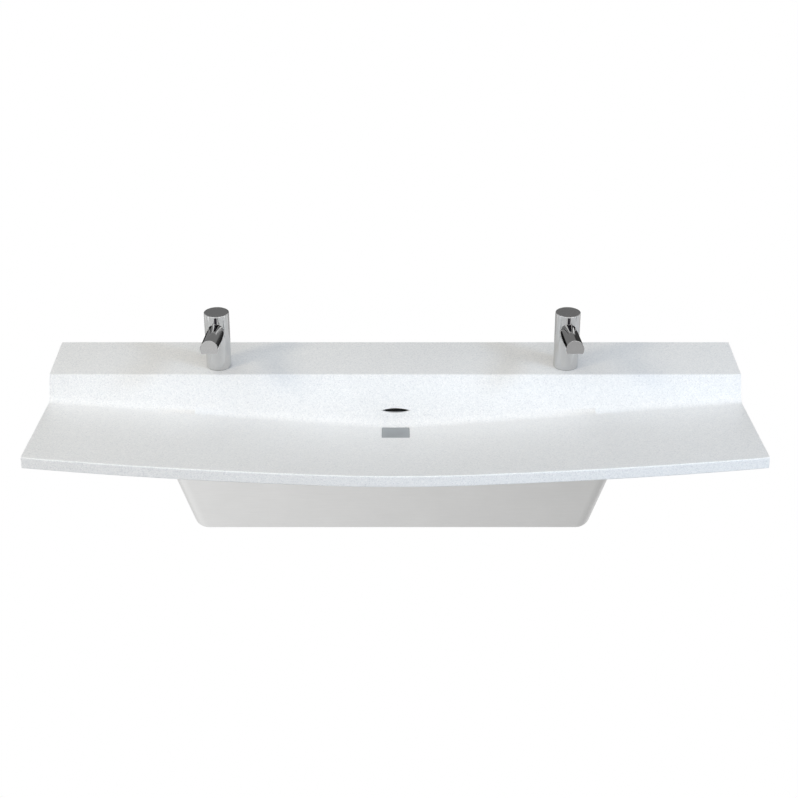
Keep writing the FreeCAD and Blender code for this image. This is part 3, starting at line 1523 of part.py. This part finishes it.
def make_water_line():
    nuts = []
    valve_spot = at(centre_x, s.line_depth, s.valve_drop)
    port_reach = s.valve_half_length + s.valve_port_length
    for label, (side, sign) in zip(("hot", "cold"), SIDES):
        port_top = make_stop(f"{label}_stop", sign)
        nuts.append(line_nut(f"{label}_stop_nut", moved(port_top, "up", s.line_gap), "up"))
        start = moved(port_top, "up", s.line_gap)
        rise = s.stop_drop - s.stop_radius - s.stop_port_rise - s.line_gap - s.valve_drop
        run = s.stop_spacing / 2 - port_reach - s.line_gap
        node(f"{label}_riser", bent_tube(
            f"{label}_riser_tube", start, [("up", rise), (OPPOSITE[side], run)], s.line_bend,
            s.line_radius, s.line_wall))
        port_face = moved(valve_spot, side, port_reach + s.line_gap)
        nuts.append(line_nut(f"{label}_valve_nut", port_face, side))
    make_mixing_valve(valve_spot, port_reach)

    tee_spot = at(centre_x, s.line_depth, s.tee_drop)
    barrel = rod("tee_barrel", moved(tee_spot, "left", s.tee_half_length), "right",
                 s.tee_radius, s.tee_half_length * 2)
    leg = s.valve_drop - s.tee_drop - s.valve_outlet_rise
    stub = rod("tee_stub", tee_spot, "down", s.tee_radius, leg)
    water = s.line_radius - s.line_wall
    across = rod("tee_across", moved(tee_spot, "left", s.tee_half_length), "right", water,
                 s.tee_half_length * 2)
    down = rod("tee_down", tee_spot, "down", water, leg)
    node("supply_tee", cut("tee", fuse("tee_body", [barrel, stub]), [across, down]))

    inlet_reach = s.faucet_spacing / 2 - s.solenoid_setback - s.solenoid_length
    for side, sign in SIDES:
        start = moved(tee_spot, side, s.tee_half_length + s.line_gap)
        nuts.append(line_nut(f"tee_nut_{side}", start, side))
        length = inlet_reach - s.tee_half_length - s.line_gap * 2
        node(f"branch_tube_{side}", bent_tube(f"branch_{side}", start, [(side, length)],
                                              s.line_bend, s.line_radius, s.line_wall))
        inlet = moved(tee_spot, side, inlet_reach)
        inlet_face = moved(inlet, OPPOSITE[side], s.line_gap)
        nuts.append(line_nut(f"inlet_nut_{side}", inlet_face, OPPOSITE[side]))
        make_solenoid(side, inlet)
        outlet = moved(inlet, side, s.solenoid_length + s.line_gap)
        nuts.append(line_nut(f"outlet_nut_{side}", outlet, side))
        feed_runs = [
            (side, s.solenoid_setback - s.line_gap), ("down", s.feed_drop - s.tee_drop),
            ("front", s.faucet_depth - s.line_depth),
            ("up", s.feed_drop - s.shank_end_drop - s.line_gap)]
        node(f"feed_tube_{side}", bent_tube(f"feed_{side}", outlet, feed_runs, s.line_bend,
                                            s.line_radius, s.line_wall))
        shank_face = at(faucet_x(sign), s.faucet_depth, s.shank_end_drop + s.line_gap)
        nuts.append(line_nut(f"shank_inlet_nut_{side}", shank_face, "down"))
    node("tube_nuts", group("tube_nut_set", nuts))


def make_mixing_valve(spot, port_reach):
    """The mixing valve's body, held to the panel by its foot, with a stem for its knob."""
    barrel = rod("valve_barrel", moved(spot, "left", s.valve_half_length), "right",
                 s.valve_radius, s.valve_half_length * 2)
    ports = rod("valve_ports", moved(spot, "left", port_reach), "right", s.valve_port_radius,
                port_reach * 2)
    outlet = rod("valve_outlet", spot, "up", s.tee_radius, s.valve_outlet_rise)
    nose = rod("valve_nose", spot, "front", s.valve_nose_radius,
               s.valve_nose_depth - s.line_depth)
    nose_end = moved(spot, "front", s.valve_nose_depth - s.line_depth)
    stem = rod("valve_stem", nose_end, "front", s.valve_stem_radius, s.valve_stem_length)
    foot = block("valve_foot", span(centre_x, s.valve_foot_half_width),
                 (panel_face(), s.line_depth),
                 span(s.valve_drop, s.valve_foot_half_height))
    water = s.line_radius - s.line_wall
    across = rod("valve_across", moved(spot, "left", port_reach), "right", water,
                 port_reach * 2)
    out = rod("valve_out", spot, "up", water, s.valve_outlet_rise)
    body = fuse("valve_body", [barrel, ports, outlet, nose, stem, foot])
    node("mixing_valve", cut("mixer", body, [across, out]))

    knob_spot = moved(nose_end, "front", s.knob_gap)
    grip = rod("knob_grip", knob_spot, "front", s.knob_radius, s.knob_length)
    tools = [rod("knob_bore", nose_end, "front", s.valve_stem_radius + s.stem_clearance,
                 s.valve_stem_length + s.knob_gap)]
    for index in range(KNOB_GROOVES):
        turn = FULL_TURN * index / KNOB_GROOVES
        groove = moved(nose_end, "right", s.knob_radius * round(cosine(turn), 9))
        groove = moved(groove, "up", s.knob_radius * round(sine(turn), 9))
        tools.append(rod(f"knob_groove{index}", groove, "front", s.knob_groove_radius,
                         s.knob_length + s.overrun))
    node("mixing_knob", cut("knob", grip, tools))


def make_solenoid(side, inlet):
    """An in-line solenoid valve and the coil that hangs under it."""
    length = s.solenoid_length
    barrel = rod(f"solenoid_barrel_{side}", inlet, side, s.solenoid_radius, length)
    middle = moved(inlet, side, length / 2)
    neck_length = s.solenoid_radius + s.solenoid_neck_length
    neck = rod(f"solenoid_neck_{side}", middle, "down", s.solenoid_neck_radius, neck_length)
    water = s.line_radius - s.line_wall
    way = rod(f"solenoid_way_{side}", inlet, side, water, length)
    body = fuse(f"solenoid_body_{side}", [barrel, neck])
    node(f"solenoid_valve_{side}", cut(f"solenoid_{side}", body, [way]))
    coil_top = moved(middle, "down", neck_length)
    half = s.coil_width / 2
    coil = padded(f"coil_{side}", "XY_Plane",
                  [[(-half, -half), (half, -half), (half, half), (-half, half)]],
                  s.coil_length, moved(coil_top, "down", s.coil_length))
    round_edges(coil, s.coil_corner, runs_along("up"))
    node(f"solenoid_coil_{side}", coil)


# Control box: batteries and electronics for both sensors
def control_corners():
    x = span(centre_x + s.control_offset, s.control_width / 2)
    inset = s.control_screw_inset
    spots = []
    for corner_x in (x[0] + inset, x[1] - inset):
        for drop in (s.control_top_drop + inset, s.control_bottom_drop - inset):
            spots.append((corner_x, drop))
    return spots


def control_outline(inset):
    x = span(centre_x + s.control_offset, s.control_width / 2 - inset)
    top = s.control_top_drop + inset
    bottom = s.control_bottom_drop - inset
    return [(x[0], bottom), (x[1], bottom), (x[1], top), (x[0], top)]


def make_control_box():
    back = panel_face()
    shell = front_plate("control_shell", back, s.control_depth, control_outline(size(0)))
    round_edges(shell, s.control_corner, runs_along("back"))
    room = front_plate("control_room", back + s.control_skin, s.control_depth,
                       control_outline(s.control_skin))
    round_edges(room, s.control_corner - s.control_skin, runs_along("back"))
    hollow = cut("control_hollow", shell, [room])
    posts = []
    bores = []
    front = back + s.control_depth
    screw_depth = front + s.control_cover_thickness
    for index, (x, drop) in enumerate(control_corners()):
        posts.append(rod(f"control_post{index}", at(x, back + s.control_skin / 2, drop), "front",
                         s.control_post_radius, s.control_depth - s.control_skin / 2))
        bores.append(rod(f"control_bore{index}", at(x, screw_depth + s.overrun, drop), "back",
                         s.small_screw_radius + s.small_screw_clearance,
                         s.overrun + s.control_screw_length))
    node("control_box", cut("control", fuse("control_posted", [hollow] + posts), bores))
    lid = front_plate("control_lid", front, s.control_cover_thickness,
                      control_outline(size(0)))
    round_edges(lid, s.control_corner, runs_along("back"))
    node("control_cover", cut("control_plate", lid, bores))
    screws = []
    for index, (x, drop) in enumerate(control_corners()):
        head = rod(f"control_head{index}", at(x, screw_depth, drop), "front",
                   s.small_screw_head, s.small_screw_head_height)
        shank = rod(f"control_shank{index}", at(x, screw_depth, drop), "back",
                    s.small_screw_radius, s.control_screw_length - s.small_screw_clearance)
        screws.append(fuse(f"control_screw{index}", [head, shank]))
    node("control_screws", group("control_screw_set", screws))


make_deck()
make_frame()
make_panel()
make_hinge_pins()
make_enclosure()
make_cover()
make_drain()
make_trap()
make_overflow()
make_faucets()
make_water_line()
make_control_box()
doc.recompute()

faults = []
for feature in doc.Objects:
    if "Invalid" in feature.State or "Error" in feature.State:
        faults.append(f"{feature.Name} is {feature.State}")
for label, piece in NODES.items():
    if piece.Shape.isNull() or not piece.Shape.isValid() or not piece.Shape.Solids:
        faults.append(f"{label} has no valid solid")
if faults:
    raise RuntimeError("; ".join(faults))

os.makedirs("parts", exist_ok=True)
for label, piece in NODES.items():
    piece.Shape.exportStep(f"parts/{label}.step")
    print(label, len(piece.Shape.Solids), round(piece.Shape.Volume))
print(len(NODES), "nodes")
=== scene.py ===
import json
import math

import bpy
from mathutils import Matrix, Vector

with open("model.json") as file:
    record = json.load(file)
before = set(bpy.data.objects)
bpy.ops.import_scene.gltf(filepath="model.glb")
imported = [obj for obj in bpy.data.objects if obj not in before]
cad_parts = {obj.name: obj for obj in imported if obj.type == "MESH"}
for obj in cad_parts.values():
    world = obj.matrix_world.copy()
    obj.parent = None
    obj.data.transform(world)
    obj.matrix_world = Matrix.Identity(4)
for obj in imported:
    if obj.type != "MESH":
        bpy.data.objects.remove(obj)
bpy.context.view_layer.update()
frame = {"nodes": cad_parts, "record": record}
NODES = frame["nodes"]

# Quartz: cells per metre of its two grains, and their tones from the rare dark to the pale
GRAIN_CELLS = 560.0
GRAIN_TONES = ((0.0, (0.69, 0.70, 0.72)), (0.14, (0.765, 0.775, 0.79)), (0.45, (0.81, 0.82, 0.825)),
               (0.80, (0.83, 0.835, 0.84)), (1.0, (0.90, 0.90, 0.90)))
FLECK_CELLS = 300.0
FLECK_TONES = ((0.0, (0.945, 0.95, 0.958)), (0.10, (0.978, 0.983, 0.988)), (0.35, 1.0), (1.0, 1.0))

# Brushing runs along X: few noise cells per metre that way, many across
BRUSH_STRETCH = (6.0, 260.0, 260.0)

# Sensor window: near black with a faint warm depth
WINDOW_TONES = ((0.3, (0.008, 0.008, 0.012)), (0.7, (0.014, 0.012, 0.016)))

# Backdrop and floor, in metres and in linear tones
WHITE = 1.0
WORLD_FILL = 0.12
FLOOR_HEIGHT = -0.79
FLOOR_REACH = 12.0
FLOOR_TONE = (0.5, 0.5, 0.5)
FLOOR_ROUGHNESS = 0.8

# Lamps: name, place, width and height in metres, power in watts, colour. All aim at one point.
AIM = (0, -0.3, 0)
LAMPS = (
    ("front_dome", (-0.3, -3.1, 3.2), (5.0, 2.6), 96.0, (0.95, 0.975, 1.0)),
    ("key_left", (-4.0, -2.7, 3.2), (1.0, 1.0), 86.0, (1.0, 0.87, 0.68)),
    ("key_right", (4.0, -2.7, 3.2), (1.0, 1.0), 79.0, (0.65, 0.79, 1.0)),
    ("front_fill", (2.4, -4.2, 0.6), (1.8, 0.8), 38.5, (0.72, 0.853, 1.0)),
    ("back_left", (-1.2, 0.9, 2.6), (3.4, 1.6), 26.0, (1.0, 1.0, 0.95)),
    ("low_right", (3.2, -1.2, 1.0), (1.2, 0.8), 22.0, (0.98, 1.0, 0.955)),
)

# Cards that only mirrors see: name, centre, way faced, width and height in metres, and tones
# across the width. Most are plain, and the sides and the front floor shade from end to end.
TO_FRONT, TO_BACK = (0, -1, 0), (0, 1, 0)
TO_LEFT, TO_RIGHT = (-1, 0, 0), (1, 0, 0)
TO_FLOOR, TO_CEILING = (0, 0, -1), (0, 0, 1)
CARDS = (
    ("back_wall", (-1.6, 5.9, 1.6), TO_FRONT, (5.8, 6.0), (0.205,)),
    ("back_right", (2.4, 5.9, 0.3), TO_FRONT, (2.2, 3.4), (0.045,)),
    ("back_low", (0, 5.9, -2.1), TO_FRONT, (4.8, 1.4), (0.004, 0.004, 0.045)),
    ("back_floor", (0, 6.0, -3.2), TO_FRONT, (16.0, 2.8), (0.55,)),
    ("left_side", (-6, -0.4, 0.4), TO_RIGHT, (11.2, 2.4), (0.30, 0.30, 0.26, 0.08, 0.01)),
    ("left_low", (-5.9, 0.4, -1.35), TO_RIGHT, (8.0, 1.8), (0.004,)),
    ("right_side", (6, -0.5, 0.4), TO_LEFT, (10.0, 2.4), (0.30, 0.35, 1.7, 0.08, 0.05)),
    ("right_low", (5.9, 0.4, -1.35), TO_LEFT, (8.0, 1.8), (0.004,)),
    ("front_low", (1.5, -6.0, 1.0), TO_BACK, (8.0, 2.6), (0.012,)),
    ("overhead", (0, -0.5, 3.2), TO_FLOOR, (5.0, 5.0), (0.12,)),
    ("softbox", (0, -0.2, 2.6), TO_FLOOR, (4.4, 2.4), (1.6,)),
    ("left_end", (-0.65, -2.5, 0), (0.25, 2.2, 0.2), (0.4, 0.34), (0.71,)),
    ("right_end", (0.63, -2.5, 0), (-0.23, 2.2, 0.2), (0.4, 0.34), (0.50,)),
    ("floor_front", (0, -1.4, -0.78), TO_CEILING, (5.4, 2.4),
     (0.20, 0.30, 0.72, 0.975, 1.23, 1.45, 1.5)),
)

# Camera, solved from the photograph's framing
LENS_MM = 77.28
SENSOR_MM = 36.0
SHIFT_X = 0.0046
CLIP_NEAR, CLIP_FAR = 0.1, 60.0
CAMERA_PLACE = (0.0, -3.524, 1.791)
PITCH_DOWN = 27.874


# Node trees
def new_material(name):
    """A material with its node tree and its shader."""
    made = bpy.data.materials.new(name)
    made.use_nodes = True
    shader = made.node_tree.nodes["Principled BSDF"]
    return made, made.node_tree, shader


def add(tree, kind, **inputs):
    """A node with its plain inputs set and its sockets linked."""
    new = tree.nodes.new(kind)
    for key, value in inputs.items():
        socket = new.inputs[key.replace("_", " ")]
        if isinstance(value, bpy.types.NodeSocket):
            tree.links.new(value, socket)
        else:
            socket.default_value = value
    return new


def coordinates(tree, stretch=(1, 1, 1)):
    """The piece's own coordinates in metres, stretched along each axis."""
    here = add(tree, "ShaderNodeTexCoord").outputs["Object"]
    return add(tree, "ShaderNodeMapping", Vector=here, Scale=stretch).outputs["Vector"]


def noise(tree, where, scale, detail=3.0, roughness=0.55):
    """A cloudy value from 0 to 1."""
    made = add(tree, "ShaderNodeTexNoise", Vector=where, Scale=scale, Detail=detail,
               Roughness=roughness)
    return made.outputs["Fac"]


def grains(tree, where, cells):
    """Three random values for each cell of a grain, as red, green and blue."""
    made = add(tree, "ShaderNodeTexVoronoi", Vector=where, Scale=cells)
    return add(tree, "ShaderNodeSeparateColor", Color=made.outputs["Color"]).outputs


def ramp(tree, value, *stops):
    """Colours or greys along a value, as pairs of position and grey or colour."""
    made = add(tree, "ShaderNodeValToRGB", Fac=value)
    bar = made.color_ramp.elements
    while len(bar) < len(stops):
        bar.new(0.5)
    for element, (position, tone) in zip(bar, stops):
        element.position = position
        shades = (tone, tone, tone) if isinstance(tone, float) else tone
        element.color = (*shades, 1)
    return made.outputs["Color"]


def spread(tree, value, low, high):
    """A value from 0 to 1, taken to a range."""
    return add(tree, "ShaderNodeMapRange", Value=value, To_Min=low, To_Max=high).outputs["Result"]


def multiplied(tree, first, second):
    """Two colours multiplied."""
    made = tree.nodes.new("ShaderNodeMix")
    made.data_type = "RGBA"
    made.blend_type = "MULTIPLY"
    factor, first_colour, second_colour = (made.inputs[index] for index in (0, 6, 7))
    factor.default_value = 1.0
    tree.links.new(first, first_colour)
    tree.links.new(second, second_colour)
    return made.outputs[2]


def bump(tree, shader, height, strength, distance):
    """Relief on the shader, its distance in metres."""
    made = add(tree, "ShaderNodeBump", Height=height, Strength=strength, Distance=distance)
    tree.links.new(made.outputs["Normal"], shader.inputs["Normal"])


def link(tree, value, shader, name):
    """A value linked to one of the shader's inputs."""
    tree.links.new(value, shader.inputs[name])


def darker(tone, share):
    return tuple(share * part for part in tone)


# Materials
def quartz():
    """Cast quartz: fine pale and grey grains, a few darker chips, a satin polish."""
    made, tree, shader = new_material("quartz")
    where = coordinates(tree)
    grain = grains(tree, where, GRAIN_CELLS)
    fleck = grains(tree, where, FLECK_CELLS)
    speckle = multiplied(tree, ramp(tree, grain["Red"], *GRAIN_TONES),
                         ramp(tree, fleck["Green"], *FLECK_TONES))
    cloud = ramp(tree, noise(tree, where, scale=9.0), (0.3, 0.985), (0.7, 1.0))
    link(tree, multiplied(tree, speckle, cloud), shader, "Base Color")
    link(tree, spread(tree, grain["Blue"], low=0.30, high=0.42), shader, "Roughness")
    bump(tree, shader, noise(tree, where, scale=420.0), strength=0.06, distance=0.0004)
    return made


def polished_chrome(name, tone, low, high):
    """Plated and polished: near mirror, with faint wipe marks and orange peel."""
    made, tree, shader = new_material(name)
    where = coordinates(tree)
    shader.inputs["Metallic"].default_value = 1.0
    marks = noise(tree, where, scale=55.0, detail=4.0)
    link(tree, ramp(tree, marks, (0.3, darker(tone, 0.97)), (0.7, tone)), shader, "Base Color")
    link(tree, spread(tree, marks, low, high), shader, "Roughness")
    bump(tree, shader, noise(tree, where, scale=90.0, detail=1.0), strength=0.02, distance=0.0003)
    return made


def brushed(name, tone, low, high, depth):
    """Stainless steel brushed along X, with faint wear."""
    made, tree, shader = new_material(name)
    shader.inputs["Metallic"].default_value = 1.0
    lines = noise(tree, coordinates(tree, BRUSH_STRETCH), scale=3.0, detail=5.0, roughness=0.65)
    streaks = ramp(tree, lines, (0.25, darker(tone, 0.93)), (0.75, tone))
    wear = ramp(tree, noise(tree, coordinates(tree), scale=14.0), (0.3, 0.97), (0.7, 1.0))
    link(tree, multiplied(tree, streaks, wear), shader, "Base Color")
    link(tree, spread(tree, lines, low, high), shader, "Roughness")
    bump(tree, shader, lines, strength=depth, distance=0.0002)
    return made


def cast_or_turned(name, tone, roughness, cloudiness, scale):
    """Plain metal with a cloudy surface, such as zinc plate or raw brass."""
    made, tree, shader = new_material(name)
    where = coordinates(tree)
    shader.inputs["Metallic"].default_value = 1.0
    cloud = noise(tree, where, scale, detail=6.0, roughness=0.6)
    shades = ramp(tree, cloud, (0.3, darker(tone, 1 - cloudiness)), (0.7, tone))
    link(tree, shades, shader, "Base Color")
    link(tree, spread(tree, cloud, roughness + 0.08, roughness - 0.05), shader, "Roughness")
    bump(tree, shader, noise(tree, where, scale * 8), strength=0.06, distance=0.0002)
    return made


def moulded(name, tone, roughness, grain, depth):
    """Plastic, rubber or powder coat: even colour with a fine grain."""
    made, tree, shader = new_material(name)
    where = coordinates(tree)
    relief = noise(tree, where, grain, detail=2.0)
    light = tuple(min(1.0, 1.08 * part) for part in tone)
    link(tree, ramp(tree, relief, (0.35, tone), (0.65, light)), shader, "Base Color")
    gloss = spread(tree, noise(tree, where, scale=18.0), roughness - 0.04, roughness + 0.06)
    link(tree, gloss, shader, "Roughness")
    bump(tree, shader, relief, strength=depth, distance=0.0003)
    return made


def window():
    """Dark sensor window: a coat of gloss over near black."""
    made, tree, shader = new_material("sensor_window")
    where = coordinates(tree)
    depth = noise(tree, where, scale=160.0, detail=1.0)
    link(tree, ramp(tree, depth, *WINDOW_TONES), shader, "Base Color")
    smears = noise(tree, where, scale=60.0)
    link(tree, spread(tree, smears, low=0.05, high=0.10), shader, "Roughness")
    shader.inputs["Coat Weight"].default_value = 0.6
    shader.inputs["Coat Roughness"].default_value = 0.04
    return made


FINISHES = {
    "quartz": quartz(),
    "faucet_chrome": polished_chrome("faucet_chrome", (0.655, 0.655, 0.655), low=0.04, high=0.09),
    "chrome": polished_chrome("chrome", (0.76, 0.765, 0.77), low=0.07, high=0.14),
    "cover_steel": brushed("cover_steel", (0.362, 0.383, 0.398), low=0.30, high=0.42, depth=0.20),
    "satin_steel": brushed("satin_steel", (0.66, 0.66, 0.655), low=0.34, high=0.44, depth=0.06),
    "frame_steel": moulded("frame_steel", (0.30, 0.31, 0.32), roughness=0.45, grain=520.0,
                           depth=0.25),
    "zinc_steel": cast_or_turned("zinc_steel", (0.62, 0.62, 0.60), roughness=0.32,
                                 cloudiness=0.18, scale=120.0),
    "brass": cast_or_turned("brass", (0.72, 0.55, 0.28), roughness=0.24, cloudiness=0.15,
                            scale=60.0),
    "rubber": moulded("rubber", (0.055, 0.055, 0.058), roughness=0.72, grain=700.0, depth=0.2),
    "grey_plastic": moulded("grey_plastic", (0.44, 0.45, 0.46), roughness=0.46, grain=900.0,
                            depth=0.12),
    "black_plastic": moulded("black_plastic", (0.045, 0.045, 0.048), roughness=0.40, grain=900.0,
                             depth=0.15),
    "sensor_window": window(),
}

for part in frame["record"]["subparts"]:
    piece = NODES[part["node"]]
    piece.data.materials.clear()
    piece.data.materials.append(FINISHES[part["material_slot"]])


# Studio
def placed(name, data, place, quaternion):
    """A new object in the scene, at a place and turned."""
    made = bpy.data.objects.new(name, data)
    bpy.context.scene.collection.objects.link(made)
    made.location = place
    made.rotation_mode = "QUATERNION"
    made.rotation_quaternion = quaternion
    return made


def rectangle(name, half_width, half_height, height=0.0):
    """A flat mesh around its own origin."""
    mesh = bpy.data.meshes.new(name)
    corners = [(-half_width, -half_height, height), (half_width, -half_height, height),
               (half_width, half_height, height), (-half_width, half_height, height)]
    mesh.from_pydata(corners, [], [(0, 1, 2, 3)])
    return mesh


def card(name, centre, faced, size, tones):
    """A flat card in the studio that shows in reflections alone, even or shaded across."""
    half_width, half_height = size[0] / 2, size[1] / 2
    mesh = rectangle(name, half_width, half_height)
    board = placed(name, mesh, centre, Vector(faced).to_track_quat("Z", "Y"))
    finish = bpy.data.materials.new(name)
    finish.use_nodes = True
    tree = finish.node_tree
    tree.nodes.clear()
    glow = add(tree, "ShaderNodeEmission", Color=(tones[0], tones[0], tones[0], 1), Strength=1.0)
    if len(tones) > 1:
        across = add(tree, "ShaderNodeSeparateXYZ", Vector=coordinates(tree)).outputs["X"]
        share = add(tree, "ShaderNodeMapRange", Value=across, From_Min=-half_width,
                    From_Max=half_width).outputs["Result"]
        stops = [(index / (len(tones) - 1), tone) for index, tone in enumerate(tones)]
        tree.links.new(ramp(tree, share, *stops), glow.inputs["Color"])
    out = tree.nodes.new("ShaderNodeOutputMaterial")
    tree.links.new(glow.outputs[0], out.inputs["Surface"])
    mesh.materials.append(finish)
    board.visible_camera = False
    board.visible_diffuse = False
    board.visible_transmission = False
    board.visible_volume_scatter = False
    board.visible_shadow = False


def soft_light(name, place, size, power, tone):
    """A soft lamp that lights surfaces and leaves no shape of its own in a mirror."""
    lamp = bpy.data.lights.new(name, "AREA")
    lamp.shape = "RECTANGLE"
    lamp.size, lamp.size_y = size
    lamp.energy = power
    lamp.color = tone
    aim = (Vector(AIM) - Vector(place)).to_track_quat("-Z", "Y")
    placed(name, lamp, place, aim).visible_glossy = False


def larger(tree, first, second):
    """The larger of two values."""
    made = tree.nodes.new("ShaderNodeMath")
    made.operation = "MAXIMUM"
    tree.links.new(first, made.inputs[0])
    tree.links.new(second, made.inputs[1])
    return made.outputs[0]


def backdrop_world():
    """An even fill, white to the camera, in reflections and through glass."""
    world = bpy.data.worlds.new("studio")
    bpy.context.scene.world = world
    world.use_nodes = True
    tree = world.node_tree
    tree.nodes.clear()
    ray = tree.nodes.new("ShaderNodeLightPath").outputs
    seen = larger(tree, ray["Is Camera Ray"], ray["Is Glossy Ray"])
    shown = larger(tree, seen, ray["Is Transmission Ray"])
    light = add(tree, "ShaderNodeBackground", Color=(1, 1, 1, 1), Strength=WORLD_FILL)
    white = add(tree, "ShaderNodeBackground", Color=(1, 1, 1, 1), Strength=WHITE)
    pick = tree.nodes.new("ShaderNodeMixShader")
    tree.links.new(shown, pick.inputs[0])
    tree.links.new(light.outputs[0], pick.inputs[1])
    tree.links.new(white.outputs[0], pick.inputs[2])
    out = tree.nodes.new("ShaderNodeOutputWorld")
    tree.links.new(pick.outputs[0], out.inputs["Surface"])


def pale_floor():
    """A pale floor far below the sink, which only sends light back up and shows nowhere."""
    mesh = rectangle("studio_floor", FLOOR_REACH, FLOOR_REACH, FLOOR_HEIGHT)
    floor = bpy.data.objects.new("studio_floor", mesh)
    bpy.context.scene.collection.objects.link(floor)
    finish, _, shader = new_material("studio_floor")
    shader.inputs["Base Color"].default_value = (*FLOOR_TONE, 1)
    shader.inputs["Roughness"].default_value = FLOOR_ROUGHNESS
    mesh.materials.append(finish)
    floor.visible_camera = False
    floor.visible_glossy = False
    floor.visible_transmission = False


backdrop_world()
pale_floor()
for lamp_row in LAMPS:
    soft_light(*lamp_row)
for card_row in CARDS:
    card(*card_row)

camera_data = bpy.data.cameras.new("camera")
camera_data.lens = LENS_MM
camera_data.sensor_width = SENSOR_MM
camera_data.shift_x = SHIFT_X
camera_data.clip_start = CLIP_NEAR
camera_data.clip_end = CLIP_FAR
camera = bpy.data.objects.new("camera", camera_data)
bpy.context.scene.collection.objects.link(camera)
camera.location = CAMERA_PLACE
camera.rotation_euler = (math.radians(90 - PITCH_DOWN), 0, 0)
bpy.context.scene.camera = camera
bpy.context.scene.view_settings.view_transform = "Standard"
